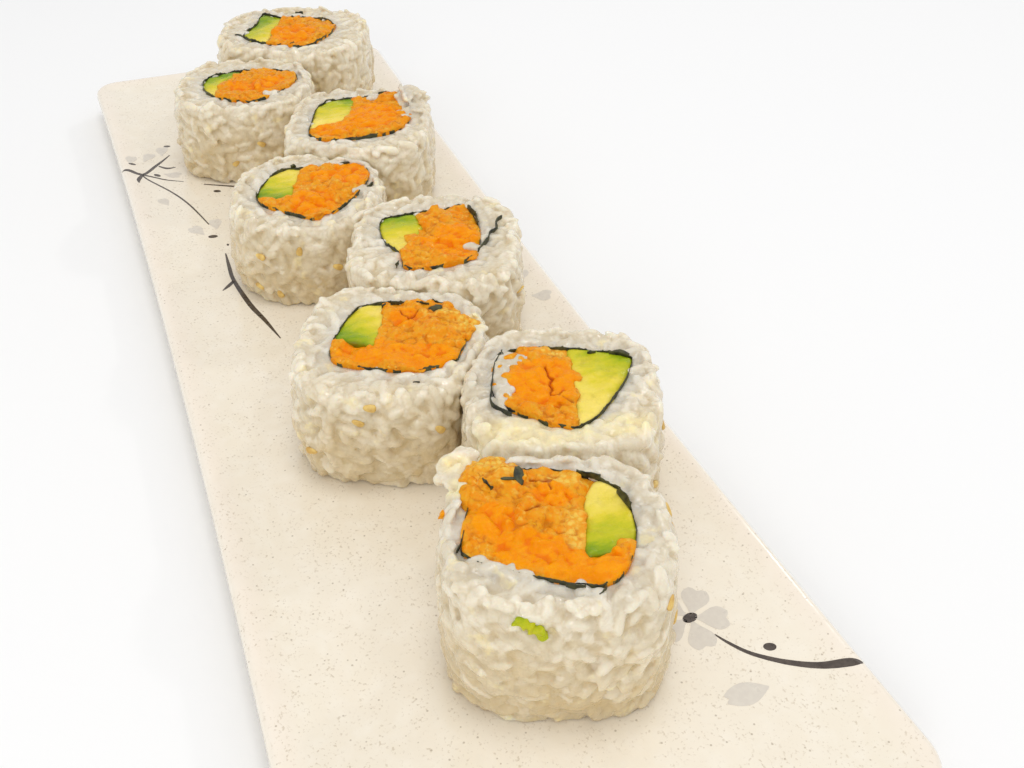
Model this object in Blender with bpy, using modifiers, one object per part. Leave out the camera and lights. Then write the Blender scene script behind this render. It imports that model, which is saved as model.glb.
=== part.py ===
"""Eight cut uramaki rolls on a long glazed plate.

Each roll stands on one cut face: a lumpy wall of rice, a thin nori band inside it, and inside the
nori a stick of sweet potato tempura beside a slice of avocado, all running through the roll.
Metres, +Z up. The origin is on the table under the middle of the plate, +X along the plate.
"""

import math
import random

import bmesh
import bpy
from mathutils import Matrix, Vector, noise

MM = 0.001
SOLID_GAP = 0.3 * MM

# Plate, overall
PLATE_LENGTH = 379 * MM
PLATE_WIDTH = 118 * MM
PLATE_SIDE_BOW = 3 * MM
PLATE_END_BOW = 1 * MM
PLATE_CORNER = 9 * MM
PLATE_CORNER_STEPS = 5
PLATE_SIDE_SPANS = 5
PLATE_END_SPANS = 3
PLATE_EVEN_SHARE = 0.8
PLATE_WELL = 11 * MM

# Plate section, from the flat well over the rim to the foot: distance in from the edge, height
PLATE_SECTION = (
    (15 * MM, PLATE_WELL),
    (8 * MM, PLATE_WELL + 0.5 * MM),
    (2.6 * MM, PLATE_WELL + 1.5 * MM),
    (0.7 * MM, PLATE_WELL + 1.1 * MM),
    (0, PLATE_WELL - 0.6 * MM),
    (1.4 * MM, PLATE_WELL - 3 * MM),
    (15 * MM, 3.4 * MM),
    (16 * MM, 0),
    (20 * MM, 0),
    (21 * MM, 1.8 * MM),
)

# Rolls
ROLL_TURN = math.radians(68)
NORI_THICKNESS = 0.6 * MM
LOOP_STEPS = 2
RICE_STATION_TURN = math.radians(12.5)
RICE_SIDE_ROWS = 6
RICE_FOOT_INSET = 2.6 * MM
RICE_FOOT_RISE = 2.8 * MM
RICE_BELLY = 1.2 * MM
RICE_SHOULDER = 1.6 * MM
RICE_TOP_INSET = 2.2 * MM
RICE_LIP_DROP = 0.2 * MM
SIDE_BUMP = 1.25 * MM
TOP_BUMP = 0.5 * MM
BUMP_SPREAD = 0.35
GRAIN_SIZE = (3.3 * MM, 1.6 * MM, 1.5 * MM)
GRAINS_PER_ROLL = 7
SEED_SIZE = (1.7 * MM, 1.0 * MM, 0.55 * MM)
SEEDS_PER_ROLL = 2
PIP_CLEARANCE = 4.5 * MM
PIP_SINK = 0.2
NORI_RISE = 0.3 * MM
POTATO_GRID = 5 * MM
POTATO_CRAG = 6 * MM
POTATO_RELIEF = 2 * MM
AVOCADO_RISE = 0.6 * MM
AVOCADO_BEVEL = 0.5 * MM
SMOOTH_UP_TO = math.radians(60)

# One entry for each roll, in millimetres. "at" is its middle on the plate, "size" its width, depth
# and height, "square" the exponent of its superellipse outline. "loop" is the nori's line round the
# fillings. "cut" is the line between the fillings, whose ends meet the loop, with the avocado
# anticlockwise from its first point. The loop and the cut are in the roll's own turned axes.
ROLLS = (
    {
        "at": (-142.6, 15.2), "size": (57, 50, 29.5), "square": 2.7,
        "loop": ((-18, -6), (-15, 6), (-14.5, 16.5), (-6, 13), (8, 12.5), (15.5, 5), (12, -8), (6, -16),
                 (-8, -13)),
        "cut": ((-4.5, 13), (-7.5, 1), (-6.5, -13.5)),
    },
    {
        "at": (-106.0, -11.2), "size": (47.5, 46, 27.2), "square": 2.6,
        "loop": ((-13, -4), (-13, 5), (-2, 11), (13, 11), (18, 5), (14.5, -7), (5, -15), (-7, -11.5)),
        "cut": ((-3.5, 10.5), (-7.5, 0), (-6, -12)),
    },
    {
        "at": (-61.5, 17.9), "size": (47.5, 48, 28.0), "square": 3.2,
        "loop": ((-14.5, -12), (-15, -1), (-14.5, 10), (-9, 15.5), (3, 17), (10.5, 17.5), (16, 6),
                 (14.5, -7), (3, -13), (-7, -15)),
        "cut": ((-2.8, 16.5), (-3.2, 0), (-9, -2.6), (-15, -4.5)),
    },
    {
        "at": (-26.5, -8.2), "size": (45.6, 48, 25.2), "square": 2.6,
        "loop": ((-14, -5), (-12.2, 8), (-7.5, 13), (1.5, 13.8), (10.5, 17.5), (15.5, 15.5), (17.5, 7),
                 (14.5, -5), (8.5, -14.5), (4.5, -17), (-1, -14.5), (-8.5, -11)),
        "cut": ((-5, 13.5), (-3.8, 3), (-3.4, -5.4), (-8, -6.2), (-14, -7)),
    },
    {
        "at": (18.3, 16.9), "size": (47, 50, 28.0), "square": 3.2,
        "loop": ((-15.4, 3.7), (-15, 10.5), (-6.5, 13.5), (1, 15.2), (6.5, 17.8), (10.5, 10.9), (12.2, 1),
                 (11, -9), (5, -13), (-2.2, -15.2), (-7.5, -14.2), (-8.8, -8), (-13, -3)),
        "cut": ((-4.6, 14), (-4, 6), (-6, -2), (-8.8, -8)),
    },
    {
        "at": (55.7, -7.4), "size": (47.2, 48, 26.3), "square": 3.0,
        "loop": ((-14, -5), (-12.6, 4.5), (-9.2, 13.4), (-2, 15.5), (5, 16.2), (13.5, 14.6), (18, 5),
                 (16.5, -7.4), (7.3, -12), (-3, -11.4), (-11, -9.8)),
        "cut": ((-3.6, 15.2), (-2.6, 9), (-3.6, -2), (-8, -1), (-13.2, 2)),
    },
    {
        "at": (89.1, 22.9), "size": (45.6, 46, 28.0), "square": 3.2,
        "loop": ((-14.6, 11.5), (-16, 4), (-15.2, -5), (-8.4, -10.6), (3, -14.6), (11.5, -4), (16.4, 8),
                 (14.5, 11.6), (1.3, 13.8), (-8.1, 13.4)),
        "cut": ((3.2, -14.6), (2.8, -3), (4.8, 13.6)),
    },
    {
        "at": (131.9, 2.7), "size": (46, 42, 31.5), "square": 3.0,
        "loop": ((-18, -6.4), (-17.4, 3.5), (-14.6, 12.6), (-6.3, 15.6), (3, 15.4), (12.2, 10.6),
                 (14.9, -0.4), (12.5, -10), (7.3, -14.4), (-1.9, -12.8), (-11.4, -10.4)),
        "cut": ((13.8, -5.6), (10.6, -6.2), (4.9, -7.2), (5.4, 8), (8.4, 13.2)),
    },
)

# Colours: base colour, roughness
LOOKS = {
    "plate": ((0.90, 0.86, 0.77), 0.30),
    "rice": ((0.90, 0.88, 0.80), 0.45),
    "nori": ((0.03, 0.045, 0.03), 0.40),
    "sweet_potato": ((0.93, 0.42, 0.05), 0.50),
    "avocado": ((0.72, 0.76, 0.22), 0.40),
}


def clear_scene():
    for obj in list(bpy.data.objects):
        bpy.data.objects.remove(obj, do_unlink=True)


def new_collection(name):
    collection = bpy.data.collections.new(name)
    bpy.context.scene.collection.children.link(collection)
    return collection


def material(name):
    colour, roughness = LOOKS[name]
    made = bpy.data.materials.new(name)
    made.use_nodes = True
    shader = made.node_tree.nodes["Principled BSDF"]
    shader.inputs["Base Color"].default_value = (*colour, 1)
    shader.inputs["Roughness"].default_value = roughness
    shader.inputs["Metallic"].default_value = 0
    return made


def object_from(bm, name, collection, look=None):
    """The bmesh as a named object with its faces pointing out."""
    bmesh.ops.recalc_face_normals(bm, faces=bm.faces)
    mesh = bpy.data.meshes.new(name)
    bm.to_mesh(mesh)
    bm.free()
    obj = bpy.data.objects.new(name, mesh)
    if look:
        mesh.materials.append(look)
    collection.objects.link(obj)
    return obj


def round_off(obj):
    """Shade it smooth, but for its sharp edges."""
    obj.data.shade_smooth()
    obj.data.set_sharp_from_angle(angle=SMOOTH_UP_TO)


# Plane outlines, as lists of 2D vectors running anticlockwise


def smooth_loop(points, steps=LOOP_STEPS):
    """A closed Catmull-Rom curve through the points, with that many steps between each two."""
    count = len(points)
    loop = []
    for i in range(count):
        before, start, end, after = (Vector(points[(i + k) % count]) for k in (-1, 0, 1, 2))
        for k in range(steps):
            t = k / steps
            bend = 2 * before - 5 * start + 4 * end - after
            turn = 3 * start - before - 3 * end + after
            loop.append(0.5 * (2 * start + (end - before) * t + bend * t**2 + turn * t**3))
    return loop


def anticlockwise(loop):
    area = sum(a.x * b.y - b.x * a.y for a, b in zip(loop, loop[1:] + loop[:1]))
    return loop if area > 0 else loop[::-1]


def offset(loop, distances):
    """The loop with each edge moved inwards by its own distance. Edge i runs from point i to i + 1."""
    count = len(loop)
    moved = []
    for i in range(count):
        here = loop[i]
        edge_in = (here - loop[i - 1]).normalized()
        edge_out = (loop[(i + 1) % count] - here).normalized()
        inward_in = Vector((-edge_in.y, edge_in.x))
        inward_out = Vector((-edge_out.y, edge_out.x))
        reach_in, reach_out = distances[i - 1], distances[i]
        crossing = edge_in.x * edge_out.y - edge_in.y * edge_out.x
        if abs(crossing) < 0.15:
            moved.append(here + (inward_in * reach_in + inward_out * reach_out) / 2)
            continue
        slide = ((inward_out * reach_out - inward_in * reach_in).dot(inward_out)) / inward_out.dot(edge_in)
        moved.append(here + inward_in * reach_in + edge_in * slide)
    return moved


def inset(loop, distance):
    return offset(loop, [distance] * len(loop))


def filled_in(loop, widest_turn):
    """The loop with points added along any edge that spans more than that angle round the origin."""
    points = []
    for a, b in zip(loop, loop[1:] + loop[:1]):
        spans = max(1, math.ceil(abs(a.angle_signed(b)) / widest_turn))
        points += [a.lerp(b, k / spans) for k in range(spans)]
    return points


def superellipse_radius(half_width, half_depth, exponent, angle):
    across = abs(math.cos(angle) / half_width) ** exponent
    along = abs(math.sin(angle) / half_depth) ** exponent
    return (across + along) ** (-1 / exponent)


def nearest(loop, point):
    return min(range(len(loop)), key=lambda i: (loop[i] - point).length)


# Plate


def plate_outline():
    """A rounded rectangle whose long sides draw in at the middle."""
    points = []
    half_length, half_width = PLATE_LENGTH / 2, PLATE_WIDTH / 2
    corners = ((1, 1, 0), (-1, 1, 90), (-1, -1, 180), (1, -1, 270))
    for sign_x, sign_y, start in corners:
        centre = Vector((sign_x * (half_length - PLATE_CORNER), sign_y * (half_width - PLATE_CORNER)))
        for step in range(PLATE_CORNER_STEPS):
            angle = math.radians(start + 90 * step / (PLATE_CORNER_STEPS - 1))
            points.append(centre + PLATE_CORNER * Vector((math.cos(angle), math.sin(angle))))
        last = points[-1]
        if start in (0, 180):
            spans, across = PLATE_SIDE_SPANS, Vector((-last.x, last.y))
        else:
            spans, across = PLATE_END_SPANS, Vector((last.x, -last.y))
        points += [last.lerp(across, k / spans) for k in range(1, spans)]
    for p in points:
        p.y *= 1 - PLATE_SIDE_BOW / half_width * (1 - (p.x / half_length) ** 2)
        p.x *= 1 - PLATE_END_BOW / half_length * (1 - (p.y / half_width) ** 2)
    return points


def plate_ring(outline, distance):
    """The outline moved in: evenly while its corners stay round, then drawn towards the middle."""
    even = min(distance, PLATE_CORNER * PLATE_EVEN_SHARE)
    across_x = PLATE_LENGTH / 2 - even
    across_y = PLATE_WIDTH / 2 - even
    shrink_x = 1 - (distance - even) / across_x
    shrink_y = 1 - (distance - even) / across_y
    return [Vector((p.x * shrink_x, p.y * shrink_y)) for p in inset(outline, even)]


def make_plate(collection, look):
    """Rings of the outline, one for each point of the section, joined, with both middles filled."""
    bm = bmesh.new()
    outline = plate_outline()
    rings = []
    for distance, height in PLATE_SECTION:
        ring = plate_ring(outline, distance)
        rings.append([bm.verts.new((p.x, p.y, height)) for p in ring])
    count = len(outline)
    for upper, lower in zip(rings, rings[1:]):
        for i in range(count):
            j = (i + 1) % count
            bm.faces.new((upper[i], upper[j], lower[j], lower[i]))
    bm.faces.new(rings[0])
    bm.faces.new(rings[-1])
    round_off(object_from(bm, "plate", collection, look))


# Rolls


def to_metres(points):
    return [Vector(p) * MM for p in points]


def contact_planes(index):
    """Where the roll is pressed flat against its neighbours: a point and an outward direction each."""
    planes = []
    here = Vector(ROLLS[index]["at"]) * MM
    for other in (index - 1, index + 1):
        if 0 <= other < len(ROLLS):
            away = Vector(ROLLS[other]["at"]) * MM - here
            planes.append((here + away / 2, away.normalized()))
    return planes


def pressed(point, planes, clearance=SOLID_GAP / 2):
    """The point moved back to this roll's side of each plane."""
    for origin, direction in planes:
        past = (point.xy - origin).dot(direction) + clearance
        if past > 0:
            point = point - Vector((direction.x, direction.y, 0)) * past
    return point


def grain_bump(step, draw):
    """Out at one grain and in at the crack beside it, by turns, each by its own amount."""
    return (0.5 if step % 2 else -0.5) + draw.uniform(-BUMP_SPREAD, BUMP_SPREAD)


def rice_profile(height):
    """The wall's outer section, foot to top: how far in from the outline, how high, the bump
    outwards and the bump upwards."""
    rows = [(RICE_FOOT_INSET, 0, 0, 0)]
    top = height - RICE_SHOULDER
    for k in range(RICE_SIDE_ROWS):
        share = k / (RICE_SIDE_ROWS - 1)
        rise = RICE_FOOT_RISE + (top - RICE_FOOT_RISE) * share
        rows.append((RICE_BELLY * (2 * share - 1) ** 2, rise, SIDE_BUMP, 0))
    rows.append((RICE_TOP_INSET, height, 0, TOP_BUMP))
    return rows


def rice_columns(roll, index, loop, base):
    """The wall's points, a column for each direction: up the outside, in over the top, down the hole."""
    width, depth, height = (v * MM for v in roll["size"])
    hole = filled_in(inset(loop, -(NORI_THICKNESS / 2 + SOLID_GAP)), RICE_STATION_TURN)
    planes = contact_planes(index)
    middle = (Vector(roll["at"]) * MM).to_3d()
    draw = random.Random(index)
    columns = []
    for station, point in enumerate(hole):
        angle = math.atan2(point.y, point.x)
        outer = superellipse_radius(width / 2, depth / 2, roll["square"], angle)
        world = Vector((math.cos(angle + ROLL_TURN), math.sin(angle + ROLL_TURN), 0))
        column = []
        for row, (distance, rise, out, up) in enumerate(rice_profile(height)):
            bump = grain_bump(station + row, draw)
            place = middle + world * (outer - distance + out * bump)
            place.z = base + rise + up * bump
            column.append(pressed(place, planes))
        top = middle + world * (outer - RICE_TOP_INSET + point.length) / 2
        top.z = base + height + TOP_BUMP * grain_bump(station, draw)
        column.append(top)
        for rise in (height - RICE_LIP_DROP, 0):
            wall = middle + world * point.length
            wall.z = base + rise
            column.append(wall)
        columns.append(column)
    return columns


def add_pip(collection, name, size, place, outward, spin, sink):
    """A grain or seed with twenty faces, lying along the surface and sunk a little into it."""
    bm = bmesh.new()
    bmesh.ops.create_icosphere(bm, subdivisions=1, radius=1)
    bmesh.ops.scale(bm, vec=size, verts=bm.verts)
    tilt = outward.to_track_quat("Z", "Y").to_matrix() @ Matrix.Rotation(spin, 3, "Z")
    bmesh.ops.rotate(bm, matrix=tilt, verts=bm.verts)
    bmesh.ops.translate(bm, vec=place - outward * sink, verts=bm.verts)
    return object_from(bm, name, collection)


def scatter_pips(roll, index, columns, collection):
    """Grains and seeds that stand proud, spread round the wall where no neighbour presses it."""
    draw = random.Random(40 + index)
    middle = (Vector(roll["at"]) * MM).to_3d()
    planes = contact_planes(index)
    sizes = [GRAIN_SIZE] * GRAINS_PER_ROLL + [SEED_SIZE] * SEEDS_PER_ROLL
    open_places = []
    for column in columns:
        for place in column[2:RICE_SIDE_ROWS]:
            if (place - pressed(place, planes, PIP_CLEARANCE)).length == 0:
                open_places.append(place)
    for made, size in enumerate(sizes):
        share = (made + draw.uniform(0.2, 0.8)) / len(sizes)
        place = open_places[int(share * len(open_places))]
        outward = place - middle
        outward.z = 0
        outward.normalize()
        sink = size[2] * PIP_SINK
        add_pip(collection, f"pip_{index}_{made}", size, place, outward, draw.uniform(0, math.pi), sink)


def lumpy_tube(columns):
    """The columns joined into a closed tube. Each quad is split between its two inner corners, so
    that every outer point stands alone, like a grain."""
    bm = bmesh.new()
    middle = sum((column[0] for column in columns), Vector()) / len(columns)
    rings = [[bm.verts.new(p) for p in column] for column in columns]
    for here, following in zip(rings, rings[1:] + rings[:1]):
        for k in range(len(here)):
            m = (k + 1) % len(here)
            quad = (here[k], following[k], following[m], here[m])
            reach = [(v.co - middle).length for v in quad]
            turned = quad if reach[0] + reach[2] < reach[1] + reach[3] else quad[1:] + quad[:1]
            bm.faces.new(turned[:3])
            bm.faces.new((turned[2], turned[3], turned[0]))
    return bm


def make_rice(roll, index, loop, base, collection, look):
    """The lumpy wall, with its proud grains and seeds joined to it by one Boolean union."""
    columns = rice_columns(roll, index, loop, base)
    rice = object_from(lumpy_tube(columns), f"rice_{index + 1}", collection, look)
    pips = new_collection(f"pips_{index + 1}")
    scatter_pips(roll, index, columns, pips)
    union = rice.modifiers.new("grains", "BOOLEAN")
    union.operation = "UNION"
    union.operand_type = "COLLECTION"
    union.collection = pips
    bpy.context.view_layer.update()
    graph = bpy.context.evaluated_depsgraph_get()
    joined = bpy.data.meshes.new_from_object(rice.evaluated_get(graph))
    rice.modifiers.clear()
    rice.data = joined
    rice.data.materials.clear()
    rice.data.materials.append(look)
    round_off(rice)
    for pip in list(pips.objects):
        bpy.data.objects.remove(pip, do_unlink=True)
    bpy.data.collections.remove(pips)


def to_world(roll, points, height):
    turn = Matrix.Rotation(ROLL_TURN, 2)
    middle = Vector(roll["at"]) * MM
    return [(middle + turn @ p).to_3d() + Vector((0, 0, height)) for p in points]


def make_nori(roll, index, loop, base, collection, look):
    """The loop drawn up into a wall, thickened by Solidify."""
    bm = bmesh.new()
    height = roll["size"][2] * MM
    low = [bm.verts.new(p) for p in to_world(roll, loop, base)]
    high = [bm.verts.new(p) for p in to_world(roll, loop, base + height + NORI_RISE)]
    for i in range(len(loop)):
        j = (i + 1) % len(loop)
        bm.faces.new((low[i], low[j], high[j], high[i]))
    nori = object_from(bm, f"nori_{index + 1}", collection, look)
    round_off(nori)
    shell = nori.modifiers.new("thickness", "SOLIDIFY")
    shell.thickness = NORI_THICKNESS
    shell.offset = 0


def split_fillings(roll, loop):
    """The avocado's and the sweet potato's outlines, each with a gap to the nori and to the other."""
    cut = to_metres(roll["cut"])
    start, end = nearest(loop, cut[0]), nearest(loop, cut[-1])
    count = len(loop)
    avocado_arc = [loop[(start + k) % count] for k in range((end - start) % count + 1)]
    potato_arc = [loop[(end + k) % count] for k in range((start - end) % count + 1)]
    to_nori = NORI_THICKNESS / 2 + SOLID_GAP
    between = SOLID_GAP / 2
    outlines = []
    for arc, line in ((avocado_arc, cut[-2:0:-1]), (potato_arc, cut[1:-1])):
        distances = [to_nori] * (len(arc) - 1) + [between] * (len(line) + 1)
        outlines.append(offset(arc + line, distances))
    return outlines


def prism(bm, points, height):
    """A face through the points, drawn up by the height into a closed solid."""
    face = bm.faces.new([bm.verts.new(p) for p in points])
    drawn = bmesh.ops.extrude_face_region(bm, geom=[face])["geom"]
    top = [g for g in drawn if isinstance(g, bmesh.types.BMVert)]
    bmesh.ops.translate(bm, vec=(0, 0, height), verts=top)


def make_avocado(roll, index, outline, base, collection, look):
    bm = bmesh.new()
    height = roll["size"][2] * MM + AVOCADO_RISE
    prism(bm, to_world(roll, outline, base), height)
    avocado = object_from(bm, f"avocado_{index + 1}", collection, look)
    edges = avocado.modifiers.new("cut_edges", "BEVEL")
    edges.width = AVOCADO_BEVEL
    edges.segments = 1
    edges.limit_method = "ANGLE"
    edges.angle_limit = math.radians(60)


def make_potato(roll, index, outline, base, collection, look):
    """A prism whose top is cut into a grid and raised into crags."""
    bm = bmesh.new()
    height = roll["size"][2] * MM
    prism(bm, to_world(roll, outline, base), height)
    middle = (Vector(roll["at"]) * MM).to_3d()
    half_way = base + height / 2
    lines = math.ceil(max(roll["size"][:2]) * MM / 2 / POTATO_GRID)
    for axis in (Vector((1, 0, 0)), Vector((0, 1, 0))):
        for k in range(-lines, lines + 1):
            faces = [f for f in bm.faces if min(v.co.z for v in f.verts) > half_way]
            edges = {e for f in faces for e in f.edges}
            verts = {v for f in faces for v in f.verts}
            point = middle + axis * k * POTATO_GRID
            bmesh.ops.bisect_plane(bm, geom=[*faces, *edges, *verts], plane_co=point, plane_no=axis)
    for v in bm.verts:
        if v.co.z > half_way:
            crag = noise.noise(v.co / POTATO_CRAG + Vector((index * 5, 0, 0)))
            v.co.z += POTATO_RELIEF * (crag + 0.5)
    round_off(object_from(bm, f"sweet_potato_{index + 1}", collection, look))


def make_roll(index, collection, looks):
    roll = ROLLS[index]
    loop = anticlockwise(smooth_loop(to_metres(roll["loop"])))
    base = PLATE_WELL + SOLID_GAP
    make_rice(roll, index, loop, base, collection, looks["rice"])
    make_nori(roll, index, loop, base, collection, looks["nori"])
    avocado, potato = split_fillings(roll, loop)
    make_avocado(roll, index, avocado, base, collection, looks["avocado"])
    make_potato(roll, index, potato, base, collection, looks["sweet_potato"])


def main():
    clear_scene()
    collection = new_collection("uramaki_plate")
    looks = {name: material(name) for name in LOOKS}
    make_plate(collection, looks["plate"])
    for index in range(len(ROLLS)):
        make_roll(index, collection, looks)


main()
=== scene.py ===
"""The looks of eight uramaki rolls on a long glazed plate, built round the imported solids.

Each roll's rice is a core set with grains and melted into one skin. Its nori is a thin ragged band,
its sweet potato a mash with crumbly batter round it, and its avocado a soft cut slice. Metres, +Z up.
"""

import math
import random

import bmesh
import bpy
import numpy as np
from mathutils import Matrix, Vector, noise
from mathutils.bvhtree import BVHTree
from mathutils.kdtree import KDTree


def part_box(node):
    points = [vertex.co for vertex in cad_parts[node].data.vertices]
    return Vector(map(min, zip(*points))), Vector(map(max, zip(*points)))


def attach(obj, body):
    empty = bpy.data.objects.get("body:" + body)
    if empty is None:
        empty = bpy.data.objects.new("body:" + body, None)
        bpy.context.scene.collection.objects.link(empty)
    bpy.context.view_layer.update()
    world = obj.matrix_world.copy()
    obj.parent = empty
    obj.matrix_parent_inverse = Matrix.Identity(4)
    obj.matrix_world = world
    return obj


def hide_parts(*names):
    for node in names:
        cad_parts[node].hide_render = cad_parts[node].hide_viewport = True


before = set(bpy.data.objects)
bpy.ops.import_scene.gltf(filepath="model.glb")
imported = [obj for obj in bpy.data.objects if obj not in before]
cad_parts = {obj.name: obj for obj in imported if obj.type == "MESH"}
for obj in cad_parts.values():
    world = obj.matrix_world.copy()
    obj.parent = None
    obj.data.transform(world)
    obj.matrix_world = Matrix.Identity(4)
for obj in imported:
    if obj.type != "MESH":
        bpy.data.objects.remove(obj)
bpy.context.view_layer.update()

MM = 0.001
DOWN = Vector((0, 0, -1))

# Camera, at the photograph's viewing angle
CAMERA_PLACE = (0.27264, -0.06365, 0.20213)
CAMERA_DOWN = math.radians(33.577)
CAMERA_HEADING = math.radians(67.961)
CAMERA_SENSOR = 36
CAMERA_LENS = 40.36
CAMERA_SHIFT = -0.1

# Plate
PLATE_CORNER = 9 * MM
PLATE_SIDE_BOW = 3 * MM
PLATE_END_BOW = 1 * MM
PLATE_CORNER_STEPS = 14
PLATE_SIDE_SPANS = 60
PLATE_END_SPANS = 20
PLATE_WELL = 11 * MM
PLATE_EVEN_SHARE = 0.8
PLATE_SHARP = math.radians(40)
PLATE_CURVED = 7
PLATE_PROFILE_STEPS = 3
PLATE_SECTION = (
    (15 * MM, PLATE_WELL),
    (8 * MM, PLATE_WELL + 0.5 * MM),
    (2.6 * MM, PLATE_WELL + 1.5 * MM),
    (0.7 * MM, PLATE_WELL + 1.1 * MM),
    (0, PLATE_WELL - 0.6 * MM),
    (1.4 * MM, PLATE_WELL - 3 * MM),
    (15 * MM, 3.4 * MM),
    (16 * MM, 0),
    (20 * MM, 0),
    (21 * MM, 1.8 * MM),
)

# Rice grains, and how they lie on the wall, in the cut and over the fillings
GRAIN_HALF = (3.3 * MM, 1.45 * MM, 1.05 * MM)
GRAIN_OVER_FILLING = (2.1 * MM, 1.3 * MM, 1.2 * MM)
GRAIN_BLUNTNESS = 0.65
GRAIN_SPREAD = 0.16
GRAIN_BEND = 0.12
GRAIN_TAPER = 0.1
GRAIN_AXIS_SHARE = 0.75
GRAIN_AXIS_POINTS = 5
GRAIN_NEIGHBOURS = 6
GRAIN_ROW_GAP = 1.9 * MM
GRAIN_PITCH = 3.9 * MM
GRAIN_SINK = 0.55 * MM
SHOULDER = 4 * MM
SHOULDER_SINK = 1.2 * MM
FOOT = 3 * MM
FOOT_SINK = 0.8 * MM
TOP_PITCH = 2.8 * MM
TOP_SINK = 0.6 * MM
ROOM_TO_NORI = 1.7 * MM
ROOM_TO_WALL = 2 * MM

# The rice as a whole: a core, run together with its grains and then pressed a little
CORE_INSET = 0.65 * MM
RICE_VOXEL = 0.51 * MM
WALL_LEVEL = 0.4 * MM
CREST_PRESSED = 0.2
CREASE_PRESSED = 0.1
WALL_SWELL = 0.8 * MM
SWELL_SIZE = 7 * MM
RICE_CUT = 0.2 * MM
CUT_PRESSED = 0.35
HOLE_OVERLAP = 0.1 * MM
HIDDEN_DEPTH = 5 * MM
HIDDEN_KEPT = 0.05
RELIEF_ROUNDS = 24
RICE_RELIEF = 0.55 * MM
SEAM_WIDTH = 0.35 * MM

# Nori
NORI_STEPS = 300
NORI_HALF = 0.09
NORI_EDGE_RISE = 0.4 * MM
SCRAP_THICKNESS = 0.28 * MM
SCRAP_POINTS = (9, 5)
CHIP_LIFT = 0.15 * MM
TAIL_HALF = 0.14
TAIL_LIFT = 1.05
TAIL_SUNK = 1.5 * MM

# Fillings
FILLING_VOXEL = 0.4 * MM
FILLING_LOWERED = 0.6 * MM
POTATO_RELIEF = 0.5 * MM
CHUNK_PITCH = 4.6 * MM
CRUMB_PITCH = 1.6 * MM
CRUMB_EDGE = 0.15 * MM
CRUMB_VOXEL = 0.25 * MM
FOLD_SIZE = 3.2 * MM
FOLD_DEPTH = 0.55 * MM
CRACK_DEPTH = 0.8 * MM
CRACK_REACH = 0.6
CRACK_WANDER = 1.4
WANDER_SIZE = 2.2 * MM
WANDER_SHIFT = 0.1
SPREAD_WIDTH = 1.6 * MM
SPREAD_OVERLAP = 0.1 * MM
SEAM_CLOSED = 0.35 * MM
WAVE_SIZE = 4 * MM
RIDGE_SIZE = 1.3 * MM

# Sesame
SEED_HALF = (1.6 * MM, 0.95 * MM, 0.5 * MM)
SEED_TAPER = 0.3

# Where each kind of random draw starts
POTATO_SEED = 100
SCRAP_SEED = 300
SESAME_SEED = 400
CRUMB_SEED = 500

# Lights: place, aim, size and power
SKY_STRENGTH = 0.78
LIGHTS = {
    "overhead": ((0.1, 0.05, 0.95), (0, 0, 0), 0.3, 1.7),
    "sparkle": ((-0.6, 0.9, 0.8), (0, 0, 0.04), 0.06, 1.0),
    "front": ((0.9, -0.5, 0.5), (0, 0, 0.02), 0.4, 1.7),
}

# Print on the glaze, in millimetres on the plate
PRINT_RISE = 0.05 * MM
PRINT_DEPTH = 0.12 * MM
PRINT_SHARP = math.radians(30)
PETAL_STEPS = 14
BUD_STEPS = 12
CURVE_STEPS = 6
THINNEST_STROKE = 0.06
BLOSSOM = (137.4, 31.2)
BLOSSOM_TURN = 68
PETAL_LENGTH = 8.6
PETAL_WIDTH = 6.2
PETAL_SHAPE = (0.1, 0.3, 0.62, 0.88, 1.0, 0.9, 0.62)
LEAF_SHAPE = (0.05, 0.5, 0.85, 1.0, 0.95, 0.75, 0.4)
# Loose petals: the base, the length, the width, the way it points in degrees, and its shape
LOOSE_PETALS = (
    ((158.2, 38.6), 11.5, 5.2, 267, LEAF_SHAPE),
    ((-103.5, -44.0), 7.5, 4.2, 60, PETAL_SHAPE),
    ((-112.0, -53.5), 7.5, 4.0, 168, PETAL_SHAPE),
    ((-113.5, -49.0), 8.0, 4.2, 150, PETAL_SHAPE),
    ((-116.5, -42.0), 8.5, 4.4, 172, PETAL_SHAPE),
    ((-79.0, -44.5), 6.5, 3.6, 200, PETAL_SHAPE),
    ((-55.5, -36.5), 8.5, 4.4, 205, PETAL_SHAPE),
    ((-57.5, -32.5), 8.0, 4.2, 178, PETAL_SHAPE),
    ((8.0, 45.5), 7.5, 5.0, 150, PETAL_SHAPE),
    ((15.0, 46.0), 7.0, 5.0, 60, PETAL_SHAPE),
)
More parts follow.
